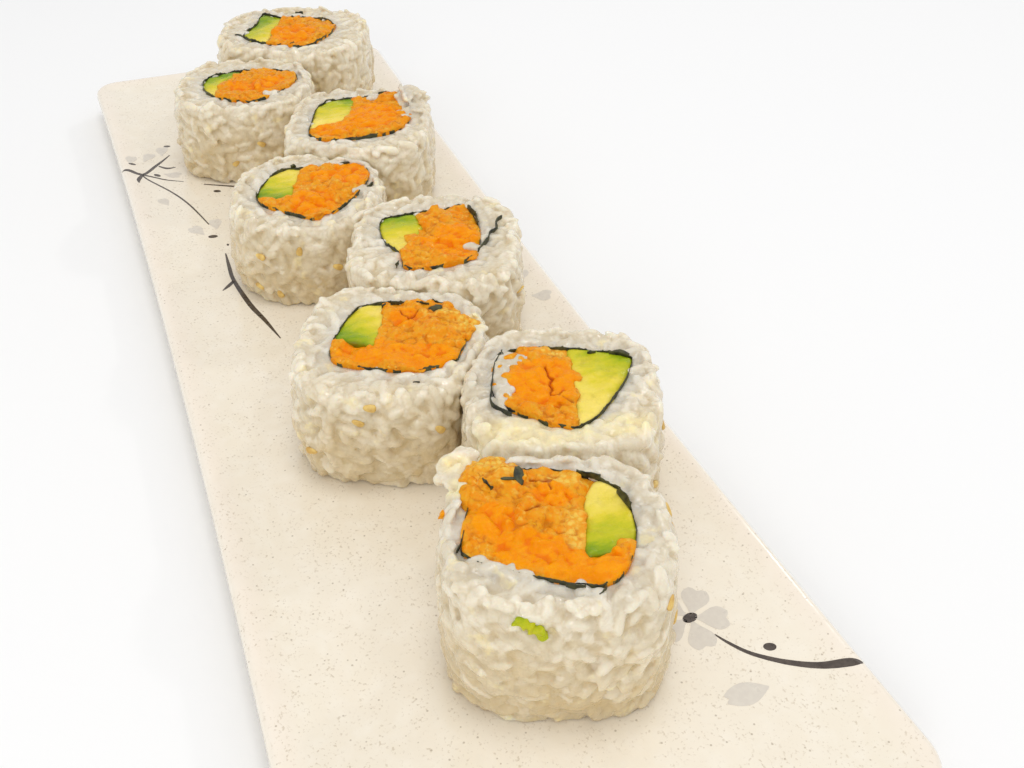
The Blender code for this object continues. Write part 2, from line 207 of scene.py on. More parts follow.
# Brush strokes: points, with the half width at each
STROKES = (
    ((143.1, 33.8, 0.15), (146.3, 35.5, 0.35), (150.1, 38.3, 0.45), (154.2, 43.2, 0.6), (157.7, 48.7, 0.75),
     (160.1, 54.6, 0.95), (161.1, 57.0, 0.25)),
    ((-109.2, -56.6, 0.2), (-107.6, -54.2, 0.75), (-104.1, -50.1, 0.6), (-110.2, -44.8, 0.6),
     (-117.0, -39.2, 0.2)),
    ((-105.0, -51.5, 0.5), (-101.5, -46.8, 0.35), (-98.6, -43.3, 0.3), (-95.0, -37.6, 0.12)),
    ((-104.1, -50.1, 0.3), (-100.6, -49.2, 0.3), (-88.6, -42.4, 0.3), (-77.3, -38.1, 0.3),
     (-62.4, -34.4, 0.2)),
    ((-109.5, -44.0, 0.3), (-107.0, -41.4, 0.55), (-106.8, -38.6, 0.2)),
    ((-104.2, -50.0, 0.5), (-100.3, -51.8, 0.7), (-97.6, -52.0, 0.1)),
    ((-90.4, -31.4, 0.25), (-87.6, -26.5, 0.35), (-85.0, -22.0, 0.5)),
    ((-42.6, -32.6, 0.2), (-34.5, -33.0, 0.55), (-26.2, -33.1, 0.6), (-11.7, -31.1, 0.75), (-2.5, -28.8, 0.6),
     (8.0, -26.5, 0.15)),
    ((-26.0, -33.2, 0.5), (-23.8, -35.2, 0.6), (-22.0, -37.2, 0.15)),
)
# Buds and the blossom's middle: the place, the half sizes and the turn in degrees
BUDS = (
    (BLOSSOM, 1.75, 1.15, 100),
    ((150.0, 42.6), 1.35, 0.95, 70),
    ((-112.6, -52.6), 1.3, 0.65, 60),
    ((-124.5, -39.1), 1.2, 0.7, 70),
    ((-102.6, -45.4), 1.4, 0.75, 40),
    ((-83.8, -28.0), 1.3, 0.8, 60),
    ((-54.3, -34.5), 1.5, 0.9, 75),
    ((-47.5, -31.0), 0.6, 0.4, 0),
)

# The fillings of each roll, in its own axes: millimetres from the middle of its nori, x to the right in
# the photograph and y away from the camera. An ellipse is its middle and its half sizes.
#   flesh: ellipses where the sweet potato's flesh shows through its batter
#   pale: ellipses of pale golden batter; stains: ellipses of rice that the batter's oil has tinted
#   green: the way in degrees in which the avocado turns green; ripe: how yellow it is as a whole
#   spill: batter over the rice; grains: rice over the filling. Each is an ellipse and a number
#   tuft: loose grains at the cut's edge, as an ellipse, a number and how far their middle rises
#   cracks: lines along which the sweet potato has opened
#   scraps: folds of nori, as middle, length, height and turn in degrees
#   chips: flakes of nori lying flat, as middle and half sizes; tail: the line of a loose end of nori
#   seeds: sesame on the wall, as a direction in degrees and a height in millimetres
#   avocado_crumbs, potato_crumbs: crumbs on the wall, as a direction, a height and a size
ROLLS = {
    1: {"flesh": ((2.5, -5, 8.5, 8),), "green": 150, "ripe": 0.15,
        "scraps": ((1.5, 16, 3, 1.2, 10), (-17.5, -7.5, 3, 1, 160), (4, -15.8, 2, 1.4, 70)),
        "seeds": ((-60, 10),)},
    2: {"flesh": ((-4, -2, 4, 4), (3, -1, 4, 5), (8, 3, 3, 3)), "green": 120, "ripe": 0.3,
        "grains": ((9.5, -7, 4, 2, 5),), "seeds": ((-100, 8), (-75, 15))},
    3: {"flesh": ((-5, -9, 8, 5), (6, 0, 8, 10)), "green": 90, "ripe": 0.45,
        "spill": ((9.5, 14.5, 3.2, 2.6, 26),), "grains": ((4.5, 14.5, 2.5, 1.5, 4), (15, 3, 1.6, 7, 8)),
        "scraps": ((7, 16.8, 3, 1.6, 15), (12.5, 15.5, 3, 2, 80), (17, 6, 5, 1.2, 105)),
        "tuft": ((16.4, 12.2, 3.6, 3.6, 44, 7.5), (20, 5, 2, 4.5, 18, 2.5)),
        "seeds": ((-95, 14), (-70, 9))},
    4: {"flesh": ((0.5, -7.7, 6.5, 7), (9, 10.3, 6, 7.5), (1, 8, 4, 2.5)), "green": 250, "ripe": 0.35,
        "grains": ((13.5, 0, 2.4, 1.5, 4),),
        "scraps": ((-17, -4, 2.5, 1.6, 100), (-9, 13.8, 1.6, 1.6, 20), (15.5, 2.8, 3, 1, 60)),
        "seeds": ((-95, 19), (-120, 17), (-70, 13), (-112, 4), (-125, 6))},
    5: {"flesh": ((5.6, -3, 6.5, 8.5), (0.5, -4, 4, 4)), "green": 100, "ripe": 0.4,
        "grains": ((10.6, -5.6, 1.6, 2.6, 4),),
        "scraps": ((9.5, 13.5, 5, 1.6, 120), (11.2, 9, 5, 1.2, 95), (-9, -14.5, 2, 1.4, 80)),
        "tail": ((11.9, -7.7), (13.6, -3.5), (14.5, -1.2), (14.9, 1.4), (16.8, 4), (16.4, 6.2), (16.8, 8.5),
                 (18, 10)),
        "seeds": ((-80, 12), (-30, 20), (-60, 6))},
    6: {"flesh": ((-5.6, -6.5, 8, 5), (6.4, -8.5, 9, 5), (1.4, 7.5, 3.5, 3.5)), "green": 225, "ripe": 0.35,
        "spill": ((16.5, 3.5, 2.2, 4, 20),),
        "cracks": (((-0.4, 9.7), (2.7, 6.6), (4.7, 9.7)),), "chips": ((8.6, 10.2, 2.4, 1),),
        "scraps": ((-3.6, 12, 2.6, 1.2, 10), (5.3, 12.4, 3.4, 1.6, 170), (10, 11.2, 3, 1.8, 165),
                   (5.9, -18.2, 1.6, 0.5, 5)),
        "pale": ((16.5, 4, 3.5, 3.5), (11.5, 8.5, 5, 1.8)), "stains": ((18, 5, 3, 4),),
        "seeds": ((-100, 24.5), (-106, 20.5), (-65, 18), (-130, 10))},
    7: {"flesh": ((-5.5, -1, 8, 8.5),), "green": 50, "ripe": 0.6,
        "grains": ((-14.8, -0.5, 1.3, 8.5, 60), (-12.9, 7.6, 2.4, 2.2, 26)),
        "tail": ((-15.2, 9.7), (-16.6, 5.1), (-17, -0.6), (-17.2, -4.4), (-17.3, -7.6), (-16.1, -9.7),
                 (-14.1, -11.2), (-12.7, -12.3)),
        "pale": ((-2, 10.5, 4.5, 2),),
        "scraps": ((12.4, 9.4, 4.8, 1.6, 168), (-14.8, 9.8, 2, 1.2, 100), (6, 10.4, 2, 1, 5)),
        "cracks": (((-4.3, 4.4), (-3.7, -0.7), (-3.2, -4.5), (-2, -6.1), (-1.1, -4.5)),
                   ((-0.9, -6.6), (1, -7.7))),
        "stains": ((-6, -17.5, 15, 4.5), (12, -15, 6, 4)),
        "seeds": ((-14, 20.5), (-40, 12), (10, 15))},
    8: {"flesh": ((-10, 1, 4, 4.5), (1, 8.5, 4, 3), (-3, -6, 7, 4.5), (7, -9.5, 8, 4.5)),
        "green": 270, "ripe": 0.5,
        "spill": ((-11, 14, 5.2, 4.6, 95), (-15, 8, 2, 3, 22), (14.4, -5.6, 0.9, 1.8, 8)),
        "pale": ((5.3, -0.5, 2, 6), (-10, 16, 5, 3.4), (3, 12.5, 4, 1.6)),
        "grains": ((-12, -9.3, 3.4, 1.1, 6), (-6, -11.4, 3, 1, 5)),
        "avocado_crumbs": ((-105, 29.6, 1.3), (-101.5, 29, 1.3), (-98, 28.4, 1.4), (-95.5, 27.4, 1.5),
                           (-93.5, 26, 1.4)),
        "potato_crumbs": ((169, 31, 1), (166, 30.6, 0.8)),
        "tuft": ((-18, 18, 3, 4.6, 18, 0),), "stains": ((-17, 17, 4, 3), (-17, 10, 2.5, 3)),
        "cracks": (((-3.7, 3.1), (-2.1, 4.1), (-1.3, 5.5)),
                   ((-3, 11.9), (-1.2, 12.7), (0.5, 11.9), (1.5, 9.9))),
        "chips": ((-5.3, 11.9, 1.1, 2.4), (-7.4, 11.2, 1.6, 0.4)),
        "scraps": ((8.6, 13.9, 5, 1.4, 165), (15.2, 6.9, 5, 2.4, 118), (4.8, -14.6, 3.6, 1.4, 172),
                   (9.6, -15.6, 2.6, 0.8, 55), (-11.3, 10.4, 3, 2.4, 115), (-16.2, -4, 5, 1.2, 75)),
        "seeds": ((-32, 27), (14, 30.5), (9, 28), (-14, 14))},
}


def srgb(red, green, blue):
    """A colour given in the 0 to 255 of a picture, as the linear one that a shader takes."""
    return tuple(((v / 255 + 0.055) / 1.055) ** 2.4 if v > 10 else v / 3294.6 for v in (red, green, blue))


def heading(angle):
    """The level direction at that angle from +X."""
    return Vector((math.cos(angle), math.sin(angle), 0))


# Materials


class Look:
    """A material being made: a Principled shader, with short ways to add nodes before it."""

    MIX_SOCKETS = (0, 6, 7)
    MIX_RESULT = 2

    def __init__(self, name, roughness, **settings):
        self.material = bpy.data.materials.new(name)
        self.material.use_nodes = True
        self.tree = self.material.node_tree
        self.shader = self.tree.nodes["Principled BSDF"]
        self.shader.inputs["Roughness"].default_value = roughness
        for socket, value in settings.items():
            self.shader.inputs[socket.replace("_", " ")].default_value = value
        self.place = self.tree.nodes.new("ShaderNodeTexCoord").outputs["Object"]

    def feed(self, socket, value):
        """Gives the socket a colour, a number or what comes out of another node."""
        if isinstance(value, tuple):
            socket.default_value = (*value, 1)
        elif isinstance(value, (int, float)):
            socket.default_value = value
        else:
            self.tree.links.new(value, socket)

    def node(self, kind, **inputs):
        made = self.tree.nodes.new(f"ShaderNode{kind}")
        for name, value in inputs.items():
            self.feed(made.inputs[name.replace("_", " ")], value)
        return made

    def noise(self, size, detail=3, roughness=0.5, shift=0.0, distortion=0.0, stretch=(1, 1, 1)):
        """Noise whose lumps are about that size, from 0 to 1."""
        mapping = self.node("Mapping", Vector=self.place)
        mapping.inputs["Location"].default_value = (shift, shift, shift)
        mapping.inputs["Scale"].default_value = stretch
        made = self.node("TexNoise", Vector=mapping.outputs["Vector"], Scale=1 / size, Detail=detail,
                         Roughness=roughness, Distortion=distortion)
        return made.outputs["Fac"]

    def cells(self, size):
        """The distance to the nearest of many points about that size apart."""
        return self.node("TexVoronoi", Vector=self.place, Scale=1 / size).outputs["Distance"]

    def attribute(self, name):
        made = self.node("Attribute")
        made.attribute_name = name
        return made.outputs["Fac"]

    def height(self):
        return self.node("SeparateXYZ", Vector=self.place).outputs["Z"]

    def span(self, value, low, high, to_low=0.0, to_high=1.0):
        """The value mapped from one range to another, and held at its ends."""
        made = self.node("MapRange", Value=value, From_Min=low, From_Max=high, To_Min=to_low, To_Max=to_high)
        return made.outputs["Result"]

    def patches(self, size, low, high, to_low=0.0, to_high=1.0, **kind):
        """Soft patches about that size: noise mapped from one range to another."""
        return self.span(self.noise(size, **kind), low, high, to_low, to_high)

    def sum(self, first, second, operation="ADD"):
        made = self.node("Math")
        made.operation = operation
        made.use_clamp = True
        self.feed(made.inputs[0], first)
        self.feed(made.inputs[1], second)
        return made.outputs["Value"]

    def product(self, first, second):
        return self.sum(first, second, "MULTIPLY")

    def mix(self, share, first, second):
        made = self.node("Mix")
        made.data_type = "RGBA"
        for index, value in zip(self.MIX_SOCKETS, (share, first, second)):
            self.feed(made.inputs[index], value)
        return made.outputs[self.MIX_RESULT]

    def layers(self, base, *coats):
        """The base with coats laid over it in turn, each a share and a colour of 0 to 255."""
        for share, colour in coats:
            base = self.mix(share, base, srgb(*colour))
        return base

    def colour(self, source):
        self.feed(self.shader.inputs["Base Color"], source)

    def rough(self, source):
        self.feed(self.shader.inputs["Roughness"], source)

    def bump(self, height, distance, strength, before=None):
        made = self.node("Bump", Height=height, Distance=distance, Strength=strength)
        if before:
            self.feed(made.inputs["Normal"], before)
        self.feed(self.shader.inputs["Normal"], made.outputs["Normal"])
        return made.outputs["Normal"]


def glaze_look():
    """Cream glaze, faintly mottled, with fine grey-brown specks and a warmer rim."""
    look = Look("glaze", 0.18, Coat_Weight=0.35, Coat_Roughness=0.08)
    cloud = look.patches(30 * MM, 0.35, 0.65, detail=4)
    bloom = look.patches(4 * MM, 0.45, 0.75, 0, 0.5, shift=3)
    rim = look.span(look.height(), PLATE_WELL + 0.5 * MM, PLATE_WELL + 1.6 * MM, 0, 0.45)
    specks = look.patches(0.7 * MM, 0.58, 0.7, 0, 0.45, detail=2, roughness=0.6, shift=7)
    gathered = look.patches(5 * MM, 0.35, 0.55, detail=2, shift=13)
    flecks = look.span(look.cells(2.6 * MM), 0.06, 0.11, 0.55, 0)
    look.colour(look.layers(
        srgb(246, 237, 220),
        (cloud, (242, 232, 213)),
        (bloom, (250, 243, 229)),
        (rim, (248, 234, 220)),
        (look.product(specks, gathered), (178, 158, 128)),
        (flecks, (150, 132, 106)),
    ))
    look.rough(look.patches(9 * MM, 0.3, 0.7, 0.14, 0.26, shift=5))
    wave = look.noise(16 * MM, 2, shift=9)
    look.bump(wave, 0.6 * MM, 0.5, look.bump(look.noise(1.2 * MM, 2, shift=11), 0.05 * MM, 0.4))
    return look.material


def rice_look():
    """Cooked rice: translucent and cool at the cut, with painted shade that makes it warmer and darker down
    the wall, in its creases and where grains meet, and a painted highlight on its crests.
    """
    look = Look("rice", 0.36, Subsurface_Weight=0.45, Subsurface_Scale=2 * MM,
                Subsurface_Radius=(1.0, 0.8, 0.55), Specular_IOR_Level=0.5)
    crest, tone = look.attribute("crest"), look.attribute("tone")
    grain = look.patches(3.2 * MM, 0.3, 0.7, detail=2, shift=1)
    # painted shade: the wall grows warmer and darker towards its foot
    down = look.span(look.height(), 40 * MM, 21 * MM, 0, 0.72)
    down = look.sum(down, look.patches(9 * MM, 0.3, 0.7, -0.25, 0.25, shift=4))
    near = look.product(look.attribute("near_filling"), look.span(crest, 0.0, 1.0, 1.0, 0.6))
    cloudy = look.patches(4.5 * MM, 0.5, 0.7, 0, 0.45, roughness=0.6, shift=21, distortion=0.6)
    spots = look.patches(5 * MM, 0.6, 0.72, 0, 0.5, roughness=0.6, shift=8)
    greasy = look.product(look.attribute("stain"), look.patches(2.5 * MM, 0.3, 0.7, 0.25, 0.85, shift=23))
    look.colour(look.layers(
        srgb(222, 208, 178),
        (grain, (232, 221, 197)),
        # painted shade in the creases, and a painted highlight on the crests
        (look.span(crest, 0.5, 0.0, 0, 0.7), (206, 182, 136)),
        (look.span(crest, 0.55, 1.0, 0, 0.6), (243, 236, 218)),
        # painted shade down the wall
        (down, (210, 187, 140)),
        (near, (206, 201, 191)),
        (look.span(tone, 0.45, 0.0, 0, 0.45), (204, 188, 156)),
        (look.span(tone, 0.6, 1.0, 0, 0.5), (244, 236, 218)),
        # painted shade where one grain meets the next
        (look.span(look.attribute("seam"), 0.1, 1.0, 0, 0.4), (196, 176, 138)),
        (cloudy, (206, 192, 164)),
        (look.sum(spots, greasy), (252, 236, 178)),
    ))
    look.rough(look.patches(2 * MM, 0.3, 0.7, 0.1, 0.36, detail=2, shift=6))
    fine = look.bump(look.noise(0.5 * MM, shift=2), 0.1 * MM, 0.4)
    look.bump(look.noise(1.5 * MM, 2, shift=12, distortion=0.5), 0.4 * MM, 0.5, fine)
    return look.material


def print_look(name, colour, worn):
    """Brushed underglaze colour, a little thinner in places."""
    look = Look(name, 0.3, Coat_Weight=0.3, Coat_Roughness=0.1)
    look.colour(look.layers(srgb(*colour), (look.patches(1.2 * MM, 0.4, 0.75, 0, 0.8), worn)))
    look.rough(look.patches(2 * MM, 0.3, 0.7, 0.24, 0.4, detail=2, shift=3))
    return look.material


def seed_look():
    """Sesame, from straw to tan."""
    look = Look("sesame", 0.4, Specular_IOR_Level=0.4)
    look.colour(look.layers(srgb(236, 204, 120), (look.patches(1.5 * MM, 0.3, 0.7), (204, 160, 84))))
    look.rough(look.patches(0.6 * MM, 0.3, 0.7, 0.3, 0.5, detail=2, shift=2))
    look.bump(look.noise(0.3 * MM, shift=4), 0.08 * MM, 0.5)
    return look.material


def nori_look():
    """Toasted seaweed, near black with a green cast."""
    look = Look("nori", 0.35, Specular_IOR_Level=0.4)
    look.colour(look.layers(srgb(28, 30, 22), (look.patches(1.6 * MM, 0.35, 0.7, detail=4), (88, 88, 50))))
    look.rough(look.patches(0.8 * MM, 0.3, 0.7, 0.25, 0.5, shift=2))
    look.bump(look.noise(0.35 * MM, 4, 0.7, shift=4), 0.15 * MM, 0.8)
    return look.material


def potato_look():
    """Moist orange flesh, with golden to brown fried batter where the batter attribute says, and painted
    shade in the creases and along the cracks.
    """
    look = Look("sweet_potato", 0.42, Subsurface_Weight=0.15, Subsurface_Scale=1.5 * MM,
                Subsurface_Radius=(1.0, 0.45, 0.12), Specular_IOR_Level=0.09)
    crest = look.attribute("crest")
    soft = look.patches(4 * MM, 0.3, 0.7, detail=4, roughness=0.55, shift=1, distortion=0.8)
    threads = look.patches(1.1 * MM, 0.5, 0.75, 0, 0.6, roughness=0.6, shift=5, stretch=(1, 0.35, 1))
    flesh = look.layers(
        srgb(246, 156, 2),
        (soft, (238, 134, 2)),
        (threads, (250, 174, 24)),
        # painted shade in the creases of the flesh
        (look.span(crest, 0.4, 0.0, 0, 0.7), (232, 108, 4)),
    )
    gold = look.patches(2.6 * MM, 0.35, 0.65, detail=4, roughness=0.6, shift=9, distortion=1.2)
    pale = look.patches(1.3 * MM, 0.55, 0.7, 0, 0.7, roughness=0.6, shift=19)
    bubbles = look.product(look.attribute("pale"), look.span(look.cells(1.1 * MM), 0.35, 0.6, 1, 0.25))
    brown = look.patches(2.1 * MM, 0.54, 0.7, 0, 0.75, detail=4, roughness=0.65, shift=13, distortion=0.8)
    batter = look.layers(
        srgb(236, 138, 8),
        (gold, (232, 164, 36)),
        (look.sum(pale, bubbles), (240, 196, 84)),
        (brown, (196, 104, 20)),
        # painted shade in the creases of the batter
        (look.span(crest, 0.35, 0.0, 0, 0.55), (186, 98, 16)),
    )
    ragged = look.patches(2.4 * MM, 0.3, 0.7, -0.45, 0.45, detail=4, roughness=0.6, shift=3)
    edge = look.span(look.sum(look.attribute("batter"), ragged), 0.3, 0.7)
    # painted shade: dark red along the cracks
    crack = look.span(look.attribute("crack"), 0.2, 0.9, 0, 0.85)
    look.colour(look.layers(look.mix(edge, flesh, batter), (crack, (168, 58, 6))))
    look.rough(look.patches(1.4 * MM, 0.3, 0.7, 0.12, 0.45, shift=7))
    fine = look.bump(look.noise(0.4 * MM, 3, 0.6, shift=15), 0.15 * MM, 0.6)
    look.bump(look.noise(1.4 * MM, 2, shift=17, distortion=0.8), 0.4 * MM, 0.5, fine)
    return look.material


def avocado_look():
    """Ripe avocado, from butter yellow to green where the green attribute says."""
    look = Look("avocado", 0.36, Subsurface_Weight=0.2, Subsurface_Scale=1.5 * MM,
                Subsurface_Radius=(0.8, 0.9, 0.25), Specular_IOR_Level=0.2)
    cloud = look.patches(3 * MM, 0.3, 0.7, -0.16, 0.16, detail=4, roughness=0.6, shift=2, stretch=(1, 0.4, 1))
    green = look.sum(look.attribute("green"), cloud)
    pale = look.layers(srgb(248, 224, 112), (look.span(green, 0.0, 0.45), (224, 206, 50)))
    deep = look.layers(srgb(170, 182, 16), (look.span(green, 0.75, 1.0), (116, 150, 10)))
    bruise = look.patches(3.5 * MM, 0.56, 0.72, 0, 0.35, detail=4, roughness=0.65, shift=14)
    rim = look.product(look.attribute("edge"), look.patches(2 * MM, 0.35, 0.65, shift=11))
    body = look.mix(look.span(green, 0.4, 0.8), pale, deep)
    look.colour(look.layers(body, (bruise, (176, 158, 44)), (rim, (128, 116, 30))))
    look.rough(look.patches(2 * MM, 0.3, 0.7, 0.2, 0.42, detail=2, shift=4))
    fine = look.bump(look.noise(0.7 * MM, shift=6, stretch=(1, 0.5, 1)), 0.12 * MM, 0.5)
    look.bump(look.noise(2.2 * MM, 4, 0.6, shift=16), 0.5 * MM, 0.6, fine)
    return look.material


# Meshes


def new_object(name, data):
    """A mesh, a camera or a light put into the scene."""
    obj = bpy.data.objects.new(name, data)
    bpy.context.scene.collection.objects.link(obj)
    return obj


def applied(obj):
    """The object's mesh with its modifiers applied to it."""
    bpy.context.view_layer.update()
    graph = bpy.context.evaluated_depsgraph_get()
    mesh = bpy.data.meshes.new_from_object(obj.evaluated_get(graph))
    old = obj.data
    obj.modifiers.clear()
    obj.data = mesh
    bpy.data.meshes.remove(old)
    return obj


def vectors_of(mesh, kind):
    """What each point has of that kind, its place ("co") or its normal, as a row of three."""
    values = np.empty(len(mesh.vertices) * 3, np.float32)
    mesh.vertices.foreach_get(kind, values)
    return values.reshape(-1, 3)


def points_of(mesh):
    return vectors_of(mesh, "co").astype(float)


def set_points(mesh, places):
    mesh.vertices.foreach_set("co", places.astype(np.float32).ravel())
    mesh.update()


def set_attributes(mesh, **columns):
    """Keeps each column, one value for each point, under its name."""
    for name, values in columns.items():
        layer = mesh.attributes.new(name, "FLOAT", "POINT")
        layer.data.foreach_set("value", np.asarray(values, np.float32))


def dress(obj, material, slot, *nodes):
    """The object in its material, on the one body, in place of those solids."""
    obj.data.materials.clear()
    obj.data.materials.append(material)
    obj.data.shade_smooth()
    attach(obj, "root")
    if nodes:
        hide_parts(*nodes)
    return obj


def mesh_tree(mesh):
    return BVHTree.FromPolygons([v.co for v in mesh.vertices], [list(p.vertices) for p in mesh.polygons])


def ring_faces(columns, height):
    """The faces of a closed ring, its points given column by column and each column a closed loop."""
    faces = []
    for i in range(columns):
        j = (i + 1) % columns
        for k in range(height):
            m = (k + 1) % height
            faces.append((i * height + k, j * height + k, j * height + m, i * height + m))
    return faces


def sheet_faces(rows, columns):
    """The faces of a thin closed sheet: its front's points row by row, and then its back's."""
    sheet = rows * columns
    faces = []
    for i in range(rows - 1):
        for j in range(columns - 1):
            corner = i * columns + j
            quad = (corner, corner + columns, corner + columns + 1, corner + 1)
            faces += [quad, tuple(sheet + k for k in quad[::-1])]
    rim = [i * columns for i in range(rows)] + [sheet - columns + j for j in range(1, columns)]
    rim += [i * columns + columns - 1 for i in range(rows - 2, -1, -1)] + list(range(columns - 2, 0, -1))
    return faces + [(a, a + sheet, b + sheet, b) for a, b in zip(rim, rim[1:] + rim[:1])]


def unit_ball(subdivisions):
    """A ball's points and triangles."""
    bm = bmesh.new()
    bmesh.ops.create_icosphere(bm, subdivisions=subdivisions, radius=1)
    points = np.array([v.co for v in bm.verts])
    faces = np.array([[v.index for v in f.verts] for f in bm.faces])
    bm.free()
    return points, faces


BALL_POINTS, BALL_FACES = unit_ball(2)


class Heap:
    """Many closed shapes gathered into one mesh."""

    def __init__(self):
        self.points = []
        self.faces = []
        self.count = 0
        self.axes = []

    def add(self, points, faces):
        self.points.append(points)
        self.faces += [[int(i) + self.count for i in face] for face in faces]
        self.count += len(points)

    def add_mesh(self, mesh, places=None):
        points = points_of(mesh) if places is None else places
        self.add(points, [list(p.vertices) for p in mesh.polygons])

    def add_grain(self, place, normal, spin, half, bend=0.0, taper=0.0):
        """A long ball lying across the normal, a little bent and thinner at one end."""
        shape = BALL_POINTS.copy()
        shape[:, 0] = np.sign(shape[:, 0]) * np.abs(shape[:, 0]) ** GRAIN_BLUNTNESS
        thin = 1 - taper * shape[:, 0]
        shape[:, 1] *= thin
        shape[:, 2] *= thin
        shape *= half
        shape[:, 1] += bend * half[0] * (shape[:, 0] / half[0]) ** 2
        turn = normal.to_track_quat("Z", "Y").to_matrix() @ Matrix.Rotation(spin, 3, "Z")
        self.add(shape @ np.array(turn).T + np.array(place), BALL_FACES)
        along = turn @ Vector((half[0] * GRAIN_AXIS_SHARE, 0, 0))
        self.axes.append((Vector(place) - along, Vector(place) + along))

    def add_lump(self, place, half, draw, rough=0.25):
        """A ball pushed out of shape, each time in its own way."""
        shift = Vector((draw.uniform(0, 50), draw.uniform(0, 50), draw.uniform(0, 50)))
        push = [1 + rough * noise.noise(Vector(p) * 1.3 + shift) * 2 for p in BALL_POINTS]
        shape = BALL_POINTS * np.array(push)[:, None] * half
        turn = Matrix.Rotation(draw.uniform(0, math.tau), 3, "Z")
        self.add(shape @ np.array(turn).T + np.array(place), BALL_FACES)

    def to_object(self, name):
        mesh = bpy.data.meshes.new(name)
        mesh.from_pydata(np.concatenate(self.points), [], self.faces)
        return new_object(name, mesh)

    def melted(self, name, voxel, rounds):
        """The shapes run together into one closed skin, and softened."""
        obj = self.to_object(name)
        skin = obj.modifiers.new("skin", "REMESH")
        skin.mode = "VOXEL"
        skin.voxel_size = voxel
        soften = obj.modifiers.new("soften", "SMOOTH")
        soften.factor = 0.5
        soften.iterations = rounds
        return applied(obj)


def relief(mesh, span):
    """How high each point stands over the blurred mesh: 0 in a crease, 1 on a crest that span above it."""
    places = points_of(mesh)
    count = len(places)
    edges = np.empty(len(mesh.edges) * 2, np.int32)
    mesh.edges.foreach_get("vertices", edges)
    first, second = edges.reshape(-1, 2).T
    neighbours = (np.bincount(first, minlength=count) + np.bincount(second, minlength=count))[:, None]
    blurred_places = places.copy()
    for _ in range(RELIEF_ROUNDS):
        total = np.zeros_like(places)
        for axis in range(3):
            total[:, axis] += np.bincount(first, blurred_places[second, axis], count)
            total[:, axis] += np.bincount(second, blurred_places[first, axis], count)
        blurred_places = total / neighbours
    above = ((places - blurred_places) * vectors_of(mesh, "normal")).sum(1)
    return np.clip(above / span + 0.5, 0, 1)


def along_line(line):
    """Each point of a flat line, with the way the line runs there and the way to its left."""
    for i, here in enumerate(line):
        along = (line[min(i + 1, len(line) - 1)] - line[max(i - 1, 0)]).normalized()
        yield here, along, Vector((-along.y, along.x))


def noise_at(places, size):
    """Smooth noise at each of the points, in lumps about that size."""
    return np.array([noise.noise(Vector(p) / size) for p in places])


def thin_out(obj, hidden):
    """Fewer and larger faces at the points that nobody sees."""
    share = float(np.mean(hidden))
    group = obj.vertex_groups.new(name="hidden")
    group.add(np.nonzero(hidden)[0].tolist(), 1.0, "REPLACE")
    fewer = obj.modifiers.new("fewer", "DECIMATE")
    fewer.ratio = 1 - share * (1 - HIDDEN_KEPT)
    fewer.vertex_group = group.name
    fewer.vertex_group_factor = 10
    applied(obj)
    obj.vertex_groups.clear()


# Rolls


def blurred(table, rounds):
    """The table, one row for each height and one column for each angle, averaged with its neighbours."""
    for _ in range(rounds):
        table = (np.roll(table, 1, 1) + 2 * table + np.roll(table, -1, 1)) / 4
        padded = np.vstack((table[:1], table, table[-1:]))
        table = (padded[:-2] + 2 * padded[1:-1] + padded[2:]) / 4
    return table


